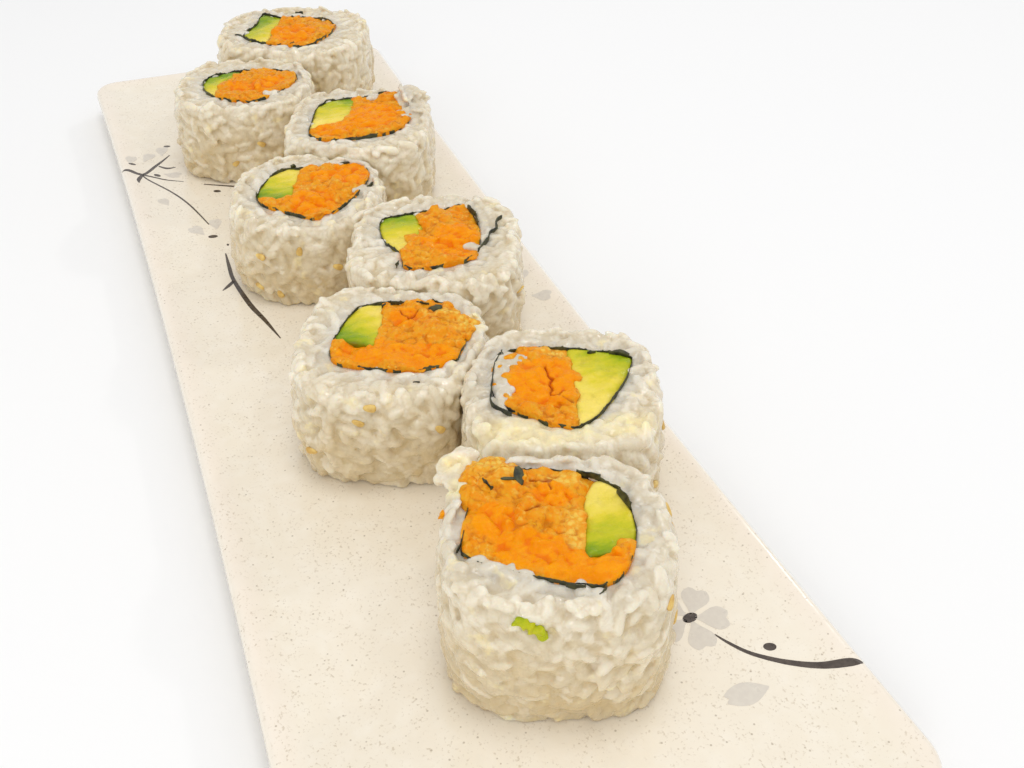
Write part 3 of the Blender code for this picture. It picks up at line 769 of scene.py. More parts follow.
class Roll:
    """A roll's place, size and outlines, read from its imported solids."""

    ANGLES = 144
    HEIGHTS = 9
    FAR = 60 * MM

    def __init__(self, number):
        self.number = number
        self.facts = ROLLS[number]
        low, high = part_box(f"nori_{number}")
        self.middle = Vector(((low.x + high.x) / 2, (low.y + high.y) / 2, 0))
        self.base = low.z
        self.top = high.z
        self.trees = {
            kind: mesh_tree(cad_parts[f"{kind}_{number}"].data)
            for kind in ("rice", "nori", "sweet_potato", "avocado")
        }
        self.turns = np.arange(self.ANGLES) * math.tau / self.ANGLES
        self.levels = np.linspace(self.base + 1 * MM, self.top - 2.5 * MM, self.HEIGHTS)
        outer = [[self.reach("rice", a, z, inwards=True) for a in self.turns] for z in self.levels]
        self.outer_table = blurred(np.array(outer), 3)
        halfway = (self.base + self.top) / 2
        self.nori_outer = np.array([self.reach("nori", a, halfway, inwards=True) for a in self.turns])
        self.nori_inner = np.array([self.reach("nori", a, halfway, inwards=False) for a in self.turns])
        self.nori_middle = (self.nori_outer + self.nori_inner) / 2

    def reach(self, kind, angle, height, inwards):
        """How far the solid's outside, or its inside, is from the roll's middle."""
        way = heading(angle)
        centre = self.at(angle, 0, height)
        start = centre + way * self.FAR if inwards else centre
        hit = self.trees[kind].ray_cast(start, -way if inwards else way)[0]
        return (hit - centre).length

    def around(self, table, angle):
        """A value of a round table at any angle."""
        return np.interp(angle % math.tau, np.append(self.turns, math.tau), np.append(table, table[0]))

    def outers(self, angles, heights):
        """How far the wall is from the middle, at each of those angles and heights."""
        column = np.asarray(angles) % math.tau / math.tau * self.ANGLES
        row = np.interp(heights, self.levels, np.arange(self.HEIGHTS))
        left = column.astype(int)
        low = np.minimum(row.astype(int), self.HEIGHTS - 2)
        across, up = column - left, row - low
        left, right = left % self.ANGLES, (left + 1) % self.ANGLES
        table = self.outer_table
        lower = table[low, left] * (1 - across) + table[low, right] * across
        upper = table[low + 1, left] * (1 - across) + table[low + 1, right] * across
        return lower * (1 - up) + upper * up

    def outer(self, angle, height):
        return float(self.outers(angle, height))

    def hole(self, angle):
        return float(self.around(self.nori_middle, angle)) - HOLE_OVERLAP

    def at(self, angle, reach, height):
        return self.middle + heading(angle) * reach + Vector((0, 0, height))

    def place(self, x, y, height):
        """A point given in millimetres in the roll's own axes."""
        turned = Matrix.Rotation(CAMERA_HEADING, 3, "Z") @ Vector((x * MM, y * MM, 0))
        return self.middle + turned + Vector((0, 0, height))

    def own(self, places):
        """The points' own axes, in millimetres, as two columns."""
        shifted = (places[:, :2] - np.array(self.middle[:2])) / MM
        across = np.array((math.cos(CAMERA_HEADING), math.sin(CAMERA_HEADING)))
        away = np.array((-across[1], across[0]))
        return np.stack((shifted @ across, shifted @ away), 1)

    def polar(self, places):
        """How far the points are from the middle, and at what angles."""
        shifted = places[:, :2] - np.array(self.middle[:2])
        return np.hypot(shifted[:, 0], shifted[:, 1]), np.arctan2(shifted[:, 1], shifted[:, 0]) % math.tau

    def surface(self, kind, x, y, margin=0.0):
        """Where a drop from above lands on the solid, or None beside it or too near its edge."""
        for dx, dy in ((margin, 0), (-margin, 0), (0, margin), (0, -margin), (0, 0)):
            land = self.trees[kind].ray_cast(Vector((x + dx, y + dy, self.top + 20 * MM)), DOWN)[0]
            if land is None:
                return None
        return land

    def spots(self, area, draw):
        """Random places in an ellipse given as middle, half sizes and number, and how central each is."""
        x, y, half_x, half_y, number = area
        for _ in range(number):
            out, way = math.sqrt(draw.random()), draw.uniform(0, math.tau)
            yield x + half_x * out * math.cos(way), y + half_y * out * math.sin(way), 1 - out


def grid(low, high, pitch):
    """Places over a box, that far apart."""
    x = low.x
    while x < high.x:
        y = low.y
        while y < high.y:
            yield x, y
            y += pitch
        x += pitch


def within(ellipses, own, softness):
    """From 1 inside the ellipses to 0 outside them, for points in the roll's own axes."""
    share = np.zeros(len(own))
    for x, y, half_x, half_y in ellipses:
        away = np.hypot((own[:, 0] - x) / half_x, (own[:, 1] - y) / half_y)
        share = np.maximum(share, np.clip((1 + softness / 2 - away) / softness, 0, 1))
    return share


def move_out(places, angle, distance):
    """Moves each point away from its roll's middle, or inwards where the distance is negative."""
    places[:, 0] += np.cos(angle) * distance
    places[:, 1] += np.sin(angle) * distance


def rice_core(roll, heap):
    """The wall under the grains: up the outside, in over the top, and down round the nori."""
    rises = [roll.base + 2 * MM, roll.base + 5 * MM, (roll.base + roll.top) / 2, roll.top - 3 * MM]
    points = []
    for angle in roll.turns:
        hole = roll.hole(angle)
        column = [roll.at(angle, roll.outer(angle, roll.base) - 2 * CORE_INSET, roll.base)]
        column += [roll.at(angle, roll.outer(angle, z) - CORE_INSET, z) for z in rises]
        column.append(roll.at(angle, roll.outer(angle, roll.top) - 2 * CORE_INSET, roll.top - 0.7 * MM))
        column.append(roll.at(angle, hole, roll.top - 0.5 * MM))
        column.append(roll.at(angle, hole, roll.base))
        points += column
    heap.add(np.array([list(p) for p in points]), ring_faces(roll.ANGLES, len(points) // roll.ANGLES))


def grain_half(draw):
    return [side * (1 + draw.gauss(0, GRAIN_SPREAD)) for side in GRAIN_HALF]


def near_upright(draw, lean):
    return Vector((draw.uniform(-lean, lean), draw.uniform(-lean, lean), 1))


def grain_bend(draw):
    return draw.uniform(-GRAIN_BEND, GRAIN_BEND)


def wall_grains(roll, heap, draw):
    """Staggered rows of grains lying on the wall, each turned its own way, from the foot to the shoulder."""
    rows = round((roll.top - roll.base) / GRAIN_ROW_GAP)
    for row in range(rows):
        height = roll.base + (row + 0.5) / rows * (roll.top - roll.base)
        shoulder = max(0, (height - roll.top + SHOULDER) / SHOULDER)
        foot = max(0, (roll.base + FOOT - height) / FOOT)
        mean = float(np.mean([roll.outer(a, height) for a in roll.turns]))
        count = round(math.tau * mean / GRAIN_PITCH)
        for k in range(count):
            angle = (k + 0.5 * (row % 2) + draw.uniform(-0.35, 0.35)) / count * math.tau
            rise = height + draw.uniform(-1, 1) * MM
            half = grain_half(draw)
            sink = GRAIN_SINK + draw.uniform(-0.4, 0.45) * MM
            sink += SHOULDER_SINK * shoulder**2 + FOOT_SINK * foot
            place = roll.at(angle, roll.outer(angle, rise) - sink, rise)
            lean = shoulder * 0.8 + draw.uniform(-0.25, 0.25)
            yaw = angle + draw.uniform(-0.2, 0.2)
            normal = heading(yaw) + Vector((0, 0, lean))
            heap.add_grain(place, normal, draw.uniform(0, math.pi), half, grain_bend(draw), GRAIN_TAPER)


def top_grains(roll, heap, draw):
    """Grains in the cut, lying between the nori and the wall."""
    low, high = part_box(f"rice_{roll.number}")
    for x, y in grid(low, high, TOP_PITCH):
        spot = Vector((x + draw.uniform(-1.6, 1.6) * MM, y + draw.uniform(-1.6, 1.6) * MM, 0))
        way = spot - roll.middle
        angle = math.atan2(way.y, way.x)
        room_in = way.length - roll.hole(angle)
        room_out = roll.outer(angle, roll.top) - way.length
        half = grain_half(draw)
        spin = draw.uniform(0, math.pi)
        sink = TOP_SINK + draw.uniform(-0.35, 0.5) * MM
        if room_in > ROOM_TO_NORI and room_out > ROOM_TO_WALL:
            normal = near_upright(draw, 0.15)
            place = Vector((spot.x, spot.y, roll.top - sink))
            heap.add_grain(place, normal, spin, half, grain_bend(draw), GRAIN_TAPER)


def filling_grains(roll, heap, area, draw):
    """Grains lying level over the edge of the filling."""
    for x, y, _ in roll.spots(area, draw):
        normal = near_upright(draw, 0.12)
        place = roll.place(x, y, roll.top + draw.uniform(-0.55, 0.05) * MM)
        heap.add_grain(place, normal, draw.uniform(0, math.pi), GRAIN_OVER_FILLING)


def add_tuft(roll, heap, area, rise, draw):
    """Grains lying loosely at the edge of the cut, on a lump that rises so many millimetres over it."""
    if rise:
        half = (0.8 * area[2] * MM, 0.8 * area[3] * MM, rise * MM)
        heap.add_lump(roll.place(area[0], area[1], roll.top - 2 * MM), half, draw, 0.1)
    for x, y, central in roll.spots(area, draw):
        normal = near_upright(draw, 0.5)
        lift = draw.uniform(-2.6, -0.4) + rise * math.sqrt(1 - (1 - central) ** 2)
        place = roll.place(x, y, roll.top + lift * MM)
        heap.add_grain(place, normal, draw.uniform(0, math.pi), grain_half(draw))


def grain_values(heap, places, draw):
    """For each point the tone of the grain it belongs to, and how near it is to the next grain, where painted
    shade goes.
    """
    points = KDTree(len(heap.axes) * GRAIN_AXIS_POINTS)
    for index, (start, end) in enumerate(heap.axes):
        for k in range(GRAIN_AXIS_POINTS):
            along = k / (GRAIN_AXIS_POINTS - 1)
            points.insert(start.lerp(end, along), index * GRAIN_AXIS_POINTS + k)
    points.balance()
    tones = [draw.random() for _ in heap.axes]
    tone, seam = np.empty(len(places)), np.zeros(len(places))
    for i, place in enumerate(places):
        found = points.find_n(place, GRAIN_NEIGHBOURS)
        own_grain, nearest = found[0][1] // GRAIN_AXIS_POINTS, found[0][2]
        tone[i] = tones[own_grain]
        others = [far for _, index, far in found if index // GRAIN_AXIS_POINTS != own_grain]
        if others:
            seam[i] = max(0, 1 - (others[0] - nearest) / SEAM_WIDTH)
    return tone, seam


def press_rice(roll, places):
    """Presses the grains level at the cut and the wall, and says which points nobody sees."""
    reach, angle = roll.polar(places)
    over = np.maximum(places[:, 2] - roll.top - RICE_CUT, 0)
    places[:, 2] -= over * np.where(reach > roll.around(roll.nori_middle, angle), CUT_PRESSED, 0)
    stands_out = reach - roll.outers(angle, places[:, 2]) - WALL_LEVEL
    below_cut = np.clip((roll.top - places[:, 2]) / (3 * MM), 0, 1)
    at_wall = below_cut * np.clip(1.5 + stands_out / (2 * MM), 0, 1)
    above_foot = np.clip((places[:, 2] - roll.base) / (6 * MM), 0.4, 1)
    swell = noise_at(places, SWELL_SIZE) * WALL_SWELL
    pressed_in = stands_out * np.where(stands_out > 0, CREST_PRESSED, CREASE_PRESSED)
    move_out(places, angle, -(pressed_in * above_foot + swell) * at_wall)
    places[:, 2] = np.maximum(places[:, 2], roll.base)
    hole = roll.around(roll.nori_middle, angle) - HOLE_OVERLAP
    in_hole = (reach < hole + 0.6 * MM) & (places[:, 2] < roll.top - HIDDEN_DEPTH)
    return in_hole | (places[:, 2] < roll.base + 0.1 * MM)


def make_rice(roll, material):
    draw = random.Random(roll.number)
    heap = Heap()
    rice_core(roll, heap)
    wall_grains(roll, heap, draw)
    top_grains(roll, heap, draw)
    for area in roll.facts.get("grains", ()):
        filling_grains(roll, heap, area, draw)
    for *area, rise in roll.facts.get("tuft", ()):
        add_tuft(roll, heap, area, rise, draw)
    rice = heap.melted(f"rice_grains_{roll.number}", RICE_VOXEL, 1)
    places = points_of(rice.data)
    hidden = press_rice(roll, places)
    set_points(rice.data, places)
    thin_out(rice, hidden)
    places = points_of(rice.data)
    reach, angle = roll.polar(places)
    beyond = reach - roll.around(roll.nori_outer, angle)
    near = np.clip(1 - beyond / (7 * MM), 0, 1) * np.clip((places[:, 2] - roll.top + 4 * MM) / (3 * MM), 0, 1)
    stain = within(roll.facts.get("stains", ()), roll.own(places), 0.6)
    # crest drives the painted shade in the creases and the painted highlight on the crests
    crest = relief(rice.data, RICE_RELIEF)
    tone, seam = grain_values(heap, places, draw)
    set_attributes(rice.data, near_filling=near, stain=stain, crest=crest, tone=tone, seam=seam)
    return dress(rice, material, "rice", f"rice_{roll.number}")


def make_nori(roll, material):
    """A thin band between the rice and the fillings, its thickness and its top edge uneven."""
    rows = []
    for i in range(NORI_STEPS):
        angle = math.tau * i / NORI_STEPS
        middle = float(roll.around(roll.nori_middle, angle))
        ring = roll.at(angle, middle, 0) / MM
        wave = noise.noise(ring * 0.35 + Vector((0, 0, roll.number * 7))) * 0.08 * MM
        half = (NORI_HALF + 0.07 * noise.noise(ring * 0.6 + Vector((9, 0, roll.number)))) * MM
        edge = noise.noise(ring * 0.3 + Vector((0, 9, roll.number))) * 0.7 * MM + NORI_EDGE_RISE
        spike = max(0, noise.noise(ring * 1.7 + Vector((3, 5, roll.number)))) * 0.6 * MM
        top = roll.top + edge + spike
        outside = [(half, roll.base), (half, roll.top - 3 * MM), (half, top - 0.2 * MM)]
        inside = [(-offset, z) for offset, z in outside[::-1]]
        column = (*outside, (0, top), *inside)
        rows.append([roll.at(angle, middle + wave + offset, z) for offset, z in column])
    mesh = bpy.data.meshes.new(f"nori_band_{roll.number}")
    mesh.from_pydata([p for row in rows for p in row], [], ring_faces(NORI_STEPS, len(rows[0])))
    return dress(new_object(mesh.name, mesh), material, "nori", f"nori_{roll.number}")


def batter_share(roll, own):
    """From 0 in the flesh to 1 in the batter, for points in the roll's own axes."""
    return 1 - within(roll.facts["flesh"], own, 0.3)


def crack_share(roll, own):
    """From 1 along the roll's cracks to 0 beside them, for points in the roll's own axes."""
    share = np.zeros(len(own))
    for crack in roll.facts.get("cracks", ()):
        for start, end in zip(crack, crack[1:]):
            start, along = np.array(start), np.subtract(end, start)
            part = np.clip((own - start) @ along / (along @ along), 0, 1)
            away = np.hypot(*(own - start - part[:, None] * along).T)
            share = np.maximum(share, np.clip(1 - away / CRACK_REACH, 0, 1))
    return share


def spread(roll, mesh):
    """The filling a little fuller, and drawn out near the nori until it all but touches it."""
    places = points_of(mesh) + vectors_of(mesh, "normal") * (1, 1, 0) * SEAM_CLOSED
    reach, angle = roll.polar(places)
    inner = roll.around(roll.nori_inner, angle)
    limit = roll.around(roll.nori_middle, angle) + SPREAD_OVERLAP
    share = np.clip((reach - inner + SPREAD_WIDTH) / SPREAD_WIDTH, 0, 1)
    out = np.minimum(reach + (limit - inner) * share, np.maximum(limit, reach - SEAM_CLOSED)) - reach
    move_out(places, angle, out)
    return places


def melted_filling(roll, heap, name):
    """The heap as one filling of the roll, and its points."""
    filling = heap.melted(f"{name}_{roll.number}", FILLING_VOXEL, 2)
    places = spread(roll, filling.data)
    set_points(filling.data, places)
    thin_out(filling, places[:, 2] < roll.top - HIDDEN_DEPTH)
    return filling, points_of(filling.data)


def lowered(roll, mesh, drop_by):
    """The solid's points, with its top brought down to leave room for the lumps on it."""
    places = points_of(mesh)
    upper = places[:, 2] > (roll.base + roll.top) / 2
    places[upper, 2] -= drop_by
    return places


def jittered(low, high, pitch, draw):
    """Places over a box, on a grid but each shifted at random."""
    for x, y in grid(low, high, pitch):
        yield x + draw.uniform(-0.5, 0.5) * pitch, y + draw.uniform(-0.5, 0.5) * pitch


def add_chunks(roll, heap, low, high, draw):
    """Soft lumps of flesh, most of each one sunk in the stick."""
    for x, y in jittered(low, high, CHUNK_PITCH, draw):
        half = draw.uniform(1.9, 3.2) * MM
        land = roll.surface("sweet_potato", x, y, half * 0.6)
        if land:
            drop_by = draw.uniform(1.2, 2.2) * MM
            heap.add_lump(land - Vector((0, 0, drop_by)), (half * 1.3, half * 0.8, 1.8 * MM), draw, 0.45)


def add_crumbs(roll, heap, low, high, draw):
    """Small crumbs all over the batter, and here and there a flat one on the flesh."""
    for x, y in jittered(low, high, CRUMB_PITCH, draw):
        size, lift, kind = draw.random(), draw.random(), draw.random()
        land = roll.surface("sweet_potato", x, y, CRUMB_EDGE)
        if land is None:
            continue
        batter = batter_share(roll, roll.own(np.array([list(land)])))[0]
        half = (0.45 + 0.8 * size**2) * MM
        if batter > 0.5:
            place = land + Vector((0, 0, (0.6 * lift - 0.95) * MM))
            heap.add_lump(place, (half * 1.5, half, half * 0.8), draw, 0.5)
        elif kind < 0.25:
            half += 0.6 * MM
            place = land + Vector((0, 0, (0.3 * lift - 1.0) * MM))
            heap.add_lump(place, (half * 1.8, half, 0.7 * MM), draw, 0.4)


def add_spill(roll, heap, area, draw):
    """A heap of batter crumbs over the edge of the cut, highest in its middle."""
    for x, y, central in roll.spots(area, draw):
        half = (0.6 + 0.8 * draw.random() ** 2) * MM
        place = roll.place(x, y, roll.top + (0.1 + 1.7 * central * draw.uniform(0.5, 1)) * MM)
        heap.add_lump(place, (half * 1.4, half, half * 0.9), draw, 0.5)


def make_potato(roll, material):
    """The stick of sweet potato: its solid set with soft flesh lumps and small batter crumbs."""
    draw = random.Random(POTATO_SEED + roll.number)
    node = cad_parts[f"sweet_potato_{roll.number}"]
    heap = Heap()
    heap.add_mesh(node.data, lowered(roll, node.data, FILLING_LOWERED))
    low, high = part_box(node.name)
    add_chunks(roll, heap, low, high, draw)
    add_crumbs(roll, heap, low, high, draw)
    for area in roll.facts.get("spill", ()):
        add_spill(roll, heap, area, draw)
    potato, places = melted_filling(roll, heap, "sweet_potato_stick")
    batter = batter_share(roll, roll.own(places))
    shown = np.clip((places[:, 2] - roll.top + HIDDEN_DEPTH) / (2 * MM), 0, 1)
    folds = np.array([noise.fractal(Vector(p) / FOLD_SIZE, 0.9, 2.0, 3) for p in places])
    ways = (noise_at(places, WANDER_SIZE), noise_at(places + WANDER_SHIFT, WANDER_SIZE))
    wander = np.stack(ways, 1) * CRACK_WANDER
    cracked = crack_share(roll, roll.own(places) + wander)
    places[:, 2] += shown * (folds * FOLD_DEPTH - cracked * CRACK_DEPTH)
    set_points(potato.data, places)
    pale = within(roll.facts.get("pale", ()), roll.own(places), 0.8)
    # crest drives the painted shade in the creases
    crest = relief(potato.data, POTATO_RELIEF)
    set_attributes(potato.data, batter=batter, crack=cracked, pale=pale, crest=crest)
    return dress(potato, material, "sweet_potato", node.name)


def make_avocado(roll, material):
    """The slice of avocado: its solid with soft edges and a faintly uneven cut."""
    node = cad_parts[f"avocado_{roll.number}"]
    heap = Heap()
    heap.add_mesh(node.data)
    avocado, places = melted_filling(roll, heap, "avocado_slice")
    way = math.radians(roll.facts["green"])
    along = roll.own(places) @ np.array((math.cos(way), math.sin(way)))
    share = (along - along.min()) / (along.max() - along.min())
    ripe = roll.facts["ripe"]
    green = np.clip(share**1.3 * (1.15 - ripe * 0.3) + 0.3 - ripe * 0.6, 0, 1)
    facing_up = vectors_of(avocado.data, "normal")[:, 2]
    set_attributes(avocado.data, green=green, edge=np.clip(1.1 - facing_up**2 * 1.2, 0, 1))
    shown = np.clip((places[:, 2] - roll.top + 2 * MM) / (2 * MM), 0, 1)
    waves, ridges = noise_at(places, WAVE_SIZE), noise_at(places, RIDGE_SIZE)
    places[:, 2] += shown * (waves * 0.55 + ridges * 0.14 - 0.2) * MM
    set_points(avocado.data, places)
    return dress(avocado, material, "avocado", node.name)


def add_scrap(heap, middle, length, height, turn, draw):
    """A small crumpled sheet of nori standing on its edge."""
    across, up = SCRAP_POINTS
    bow, shift = draw.uniform(-0.5, 0.5), Vector((draw.uniform(0, 40), draw.uniform(0, 40), 0))
    way = Matrix.Rotation(CAMERA_HEADING + math.radians(turn), 3, "Z")
    points = []
    for side in (-1, 1):
        for i in range(across):
            for j in range(up):
                u, v = i / (across - 1) - 0.5, j / (up - 1)
                ragged = 1 - 0.35 * abs(noise.noise(Vector((u * 3, 0, 5)) + shift)) - 0.5 * u * u
                place = Vector((u * length, bow * (0.25 - u * u) * length, (v * ragged - 0.45) * height))
                place.y += 0.5 * v * noise.noise(Vector((u * 2, v * 2, 0)) + shift) * height
                place.y += side * SCRAP_THICKNESS / MM / 2 * (1 - 0.5 * v)
                points.append(list(middle + way @ place * MM))
    heap.add(np.array(points), sheet_faces(across, up))


def add_tail(heap, roll):
    """The loose end of the nori, running out into the rice: a short ribbon on edge."""
    line = rounded_profile([Vector(p) for p in roll.facts["tail"]], CURVE_STEPS)
    points, faces = [], []
    for i, (here, _, left) in enumerate(along_line(line)):
        side = left * (TAIL_HALF + 0.12 * noise.noise(Vector((i * 0.7, 0, 0))))
        lift = (TAIL_LIFT + 0.3 * noise.noise(Vector((i * 0.5, 3, 0)))) * MM
        for offset, height in ((side, -TAIL_SUNK), (side, lift), (-side, lift), (-side, -TAIL_SUNK)):
            points.append(list(roll.place(*(here + offset), roll.top + height)))
    for i in range(len(line) - 1):
        for k in range(4):
            m = (k + 1) % 4
            faces.append((4 * i + k, 4 * i + m, 4 * i + 4 + m, 4 * i + 4 + k))
    last = 4 * len(line) - 4
    faces += [(3, 2, 1, 0), (last, last + 1, last + 2, last + 3)]
    heap.add(np.array(points), faces)


def chip_spin(normal):
    """The turn about the normal that lays a grain's length along the rolls' own x axis."""
    upright = normal.to_track_quat("Z", "Y").to_matrix()
    across = upright.transposed() @ heading(CAMERA_HEADING)
    return math.atan2(across.y, across.x)


def make_scraps(rolls, sticks, material):
    draw = random.Random(SCRAP_SEED)
    heap = Heap()
    for roll, stick in zip(rolls, sticks):
        tree = mesh_tree(stick.data)
        for x, y, length, height, turn in roll.facts.get("scraps", ()):
            middle = roll.place(x, y, roll.top + height * 0.4 * MM)
            add_scrap(heap, middle, length, height, turn, draw)
        for x, y, half_x, half_y in roll.facts.get("chips", ()):
            place, normal = tree.ray_cast(roll.place(x, y, roll.top + 20 * MM), DOWN)[:2]
            place += CHIP_LIFT * normal
            half = (half_x * MM, half_y * MM, SCRAP_THICKNESS)
            heap.add_grain(place, normal, chip_spin(normal), half, draw.uniform(-0.3, 0.3), 0.2)
        if "tail" in roll.facts:
            add_tail(heap, roll)
    return dress(heap.to_object("nori_scraps"), material, "nori")


def on_wall(roll, tree, turn, height):
    """The place and the normal on a rice wall at that direction in degrees and height in millimetres."""
    angle = math.radians(turn) + CAMERA_HEADING
    start = roll.at(angle, roll.FAR, roll.base + height * MM)
    return tree.ray_cast(start, -heading(angle))[:2]


def make_seeds(rolls, grains, material):
    """Sesame seeds stuck to the rice walls."""
    draw = random.Random(SESAME_SEED)
    heap = Heap()
    for roll, rice in zip(rolls, grains):
        tree = mesh_tree(rice.data)
        for turn, height in roll.facts["seeds"]:
            place, normal = on_wall(roll, tree, turn, height)
            heap.add_grain(place, normal, draw.uniform(0, math.pi), SEED_HALF, 0, SEED_TAPER)
    return dress(heap.to_object("sesame_seeds"), material, "rice")


def make_crumbs(rolls, grains, kind, material, slot):
    """Crumbs of a filling stuck to the rice walls."""
    draw = random.Random(CRUMB_SEED)
    heap = Heap()
    for roll, rice in zip(rolls, grains):
        tree = mesh_tree(rice.data)
        for turn, height, size in roll.facts.get(f"{kind}_crumbs", ()):
            place = on_wall(roll, tree, turn, height)[0]
            heap.add_lump(place, (size * MM, 0.7 * size * MM, 0.8 * size * MM), draw, 0.5)
    crumbs = heap.melted(f"{kind}_crumbs", CRUMB_VOXEL, 1)
    whole = np.ones(len(crumbs.data.vertices))
    set_attributes(crumbs.data, batter=0.5 * whole, green=0.72 * whole, crest=0.5 * whole)
    return dress(crumbs, material, slot)


# Print on the glaze


def strip_rows(line, halves, notch=0.0):
    """Rows of points across a band with that centre line, in millimetres; its far end may be notched."""
    rows = []
    for i, (here, along, side) in enumerate(along_line(line)):
        share = i / (len(line) - 1)
        row = []
        for across in (-1, -0.5, 0, 0.5, 1):
            back = notch * (1 - abs(across)) * share**3 + 0.5 * notch * across**4 * share**3
            row.append(here + side * across * halves[i] - along * back)
        rows.append(row)
    return rows


def lay_on_plate(heap, rows, tree):
    """The band laid on the plate as a thin closed sheet."""
    top, bottom = [], []
    for row in rows:
        for p in row:
            land = tree.ray_cast(Vector((p.x * MM, p.y * MM, 50 * MM)), DOWN)[0]
            top.append([land.x, land.y, land.z + PRINT_RISE])
            bottom.append([land.x, land.y, land.z + PRINT_RISE - PRINT_DEPTH])
    heap.add(np.array(top + bottom), sheet_faces(len(rows), len(rows[0])))


def add_petal(heap, tree, base, length, width, turn, shape):
    way = heading(math.radians(turn)).xy
    line = [Vector(base) + way * length * (0.12 + 0.88 * i / PETAL_STEPS) for i in range(PETAL_STEPS + 1)]
    shares = np.linspace(0, 1, PETAL_STEPS + 1)
    halves = np.interp(shares, np.linspace(0, 1, len(shape)), shape) * width / 2
    lay_on_plate(heap, strip_rows(line, halves, 0.12 * length), tree)


def add_stroke(heap, tree, stroke):
    curve = rounded_profile(stroke, CURVE_STEPS)
    halves = [max(p.z, THINNEST_STROKE) for p in curve]
    lay_on_plate(heap, strip_rows([p.xy for p in curve], halves), tree)


def add_bud(heap, tree, place, long, short, turn):
    way = heading(math.radians(turn)).xy
    shares = [-math.cos(math.pi * i / BUD_STEPS) for i in range(BUD_STEPS + 1)]
    line = [Vector(place) + way * long * share for share in shares]
    halves = [short * max(math.sqrt(max(1 - share**2, 0)), 0.05) for share in shares]
    lay_on_plate(heap, strip_rows(line, halves), tree)


def make_print(plate, dark, pale):
    tree = mesh_tree(plate.data)
    petals, strokes = Heap(), Heap()
    for k in range(5):
        add_petal(petals, tree, BLOSSOM, PETAL_LENGTH, PETAL_WIDTH, BLOSSOM_TURN + 72 * k, PETAL_SHAPE)
    for petal in LOOSE_PETALS:
        add_petal(petals, tree, *petal)
    for stroke in STROKES:
        add_stroke(strokes, tree, stroke)
    for bud in BUDS:
        add_bud(strokes, tree, *bud)
    for heap, name, look in ((petals, "print_petals", pale), (strokes, "print_twigs", dark)):
        printed = dress(heap.to_object(name), look, "plate_glaze")
        printed.data.set_sharp_from_angle(angle=PRINT_SHARP)


# Plate


def plate_outline(length, width):
    """A rounded rectangle whose long sides draw in at the middle."""
    points = []
    half_length, half_width = length / 2, width / 2
    corners = ((1, 1, 0), (-1, 1, 90), (-1, -1, 180), (1, -1, 270))
    for sign_x, sign_y, start in corners:
        centre = Vector((sign_x * (half_length - PLATE_CORNER), sign_y * (half_width - PLATE_CORNER)))
        for step in range(PLATE_CORNER_STEPS):
            angle = math.radians(start + 90 * step / (PLATE_CORNER_STEPS - 1))
            points.append(centre + PLATE_CORNER * Vector((math.cos(angle), math.sin(angle))))
        last = points[-1]
        if start in (0, 180):
            spans, across = PLATE_SIDE_SPANS, Vector((-last.x, last.y))
        else:
            spans, across = PLATE_END_SPANS, Vector((last.x, -last.y))
        points += [last.lerp(across, k / spans) for k in range(1, spans)]
    for p in points:
        p.y *= 1 - PLATE_SIDE_BOW / half_width * (1 - (p.x / half_length) ** 2)
        p.x *= 1 - PLATE_END_BOW / half_length * (1 - (p.y / half_width) ** 2)
    return points


def inset(loop, distance):
    """The loop moved inwards, each point square to its neighbours' line."""
    moved = []
    for i, here in enumerate(loop):
        along = (loop[(i + 1) % len(loop)] - loop[i - 1]).normalized()
        moved.append(here + Vector((-along.y, along.x)) * distance)
    return moved


def plate_ring(outline, distance, length, width):
    """The outline moved in: evenly while its corners stay round, then drawn towards the middle."""
    even = min(distance, PLATE_CORNER * PLATE_EVEN_SHARE)
    shrink_x = 1 - (distance - even) / (length / 2 - even)
    shrink_y = 1 - (distance - even) / (width / 2 - even)
    return [Vector((p.x * shrink_x, p.y * shrink_y)) for p in inset(outline, even)]


def rounded_profile(points, steps):
    """An open Catmull-Rom curve through the points."""
    curve = []
    for i in range(len(points) - 1):
        before, start = Vector(points[max(i - 1, 0)]), Vector(points[i])
        end, after = Vector(points[i + 1]), Vector(points[min(i + 2, len(points) - 1)])
        for k in range(steps):
            t = k / steps
            bend = 2 * before - 5 * start + 4 * end - after
            turn = 3 * start - before - 3 * end + after
            curve.append(0.5 * (2 * start + (end - before) * t + bend * t**2 + turn * t**3))
    curve.append(Vector(points[-1]))
    return curve


def make_plate(material):
    low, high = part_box("plate")
    length = high.x - low.x
    width = high.y - low.y
    outline = plate_outline(length, width)
    top = rounded_profile(PLATE_SECTION[:PLATE_CURVED], PLATE_PROFILE_STEPS)
    profile = top + [Vector(p) for p in PLATE_SECTION[PLATE_CURVED:]]
    bm = bmesh.new()
    rings = []
    for distance, height in profile:
        ring = plate_ring(outline, distance, length, width)
        rings.append([bm.verts.new((p.x, p.y, height)) for p in ring])
    count = len(outline)
    for upper, lower in zip(rings, rings[1:]):
        for i in range(count):
            j = (i + 1) % count
            bm.faces.new((upper[i], upper[j], lower[j], lower[i]))
    bm.faces.new(rings[0])
    bm.faces.new(rings[-1])
    bmesh.ops.recalc_face_normals(bm, faces=bm.faces)
    mesh = bpy.data.meshes.new("glazed_plate")
    bm.to_mesh(mesh)
    bm.free()
    plate = dress(new_object("glazed_plate", mesh), material, "plate_glaze", "plate")
    mesh.set_sharp_from_angle(angle=PLATE_SHARP)
    return plate


# Camera, light and floor


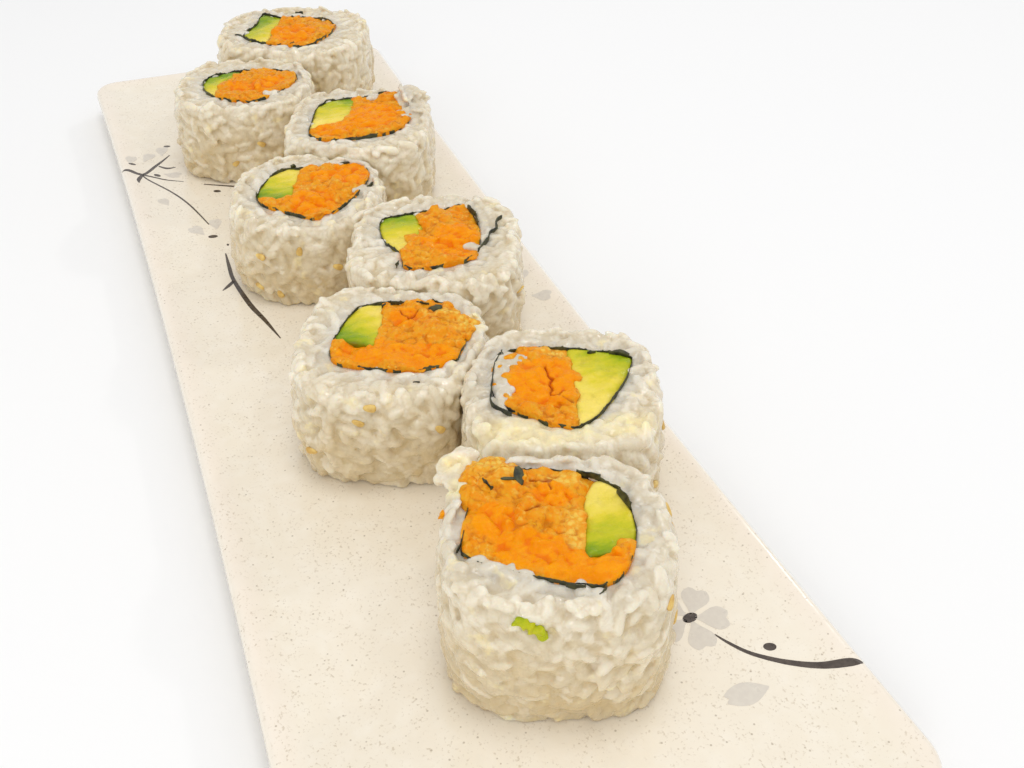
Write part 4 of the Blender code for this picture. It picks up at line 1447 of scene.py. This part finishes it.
def make_camera():
    data = bpy.data.cameras.new("camera")
    data.sensor_width = CAMERA_SENSOR
    data.lens = CAMERA_LENS
    data.shift_y = CAMERA_SHIFT
    data.clip_start = 10 * MM
    camera = new_object("camera", data)
    camera.location = CAMERA_PLACE
    camera.rotation_euler = (math.pi / 2 - CAMERA_DOWN, 0, CAMERA_HEADING)
    bpy.context.scene.camera = camera


def make_light(name, place, aim, size, power):
    data = bpy.data.lights.new(name, "AREA")
    data.shape = "DISK"
    data.size = size
    data.energy = power
    light = new_object(name, data)
    light.location = place
    light.rotation_euler = (Vector(aim) - Vector(place)).to_track_quat("-Z", "Y").to_euler()


def make_studio():
    """A white sky, soft lights and a plain pale floor."""
    bpy.context.scene.view_settings.view_transform = "Standard"
    world = bpy.data.worlds.new("studio")
    bpy.context.scene.world = world
    world.use_nodes = True
    sky = world.node_tree.nodes["Background"]
    sky.inputs["Color"].default_value = (1, 1, 1, 1)
    sky.inputs["Strength"].default_value = SKY_STRENGTH
    for name, facts in LIGHTS.items():
        make_light(name, *facts)
    bm = bmesh.new()
    bmesh.ops.create_grid(bm, x_segments=1, y_segments=1, size=4)
    mesh = bpy.data.meshes.new("floor")
    bm.to_mesh(mesh)
    bm.free()
    floor = new_object("floor", mesh)
    look = Look("floor", 0.9)
    look.colour(look.mix(look.noise(0.5, 2), (0.93, 0.93, 0.93), (0.95, 0.95, 0.95)))
    mesh.materials.append(look.material)


def main():
    rice, nori = rice_look(), nori_look()
    potato, avocado = potato_look(), avocado_look()
    plate = make_plate(glaze_look())
    dark = print_look("twig_print", (64, 52, 44), (92, 80, 70))
    make_print(plate, dark, print_look("petal_print", (218, 210, 198), (226, 219, 206)))
    rolls = [Roll(number) for number in ROLLS]
    grains, sticks = [], []
    for roll in rolls:
        grains.append(make_rice(roll, rice))
        make_nori(roll, nori)
        sticks.append(make_potato(roll, potato))
        make_avocado(roll, avocado)
    make_scraps(rolls, sticks, nori)
    make_seeds(rolls, grains, seed_look())
    make_crumbs(rolls, grains, "avocado", avocado, "avocado")
    make_crumbs(rolls, grains, "potato", potato, "sweet_potato")
    make_camera()
    make_studio()


main()
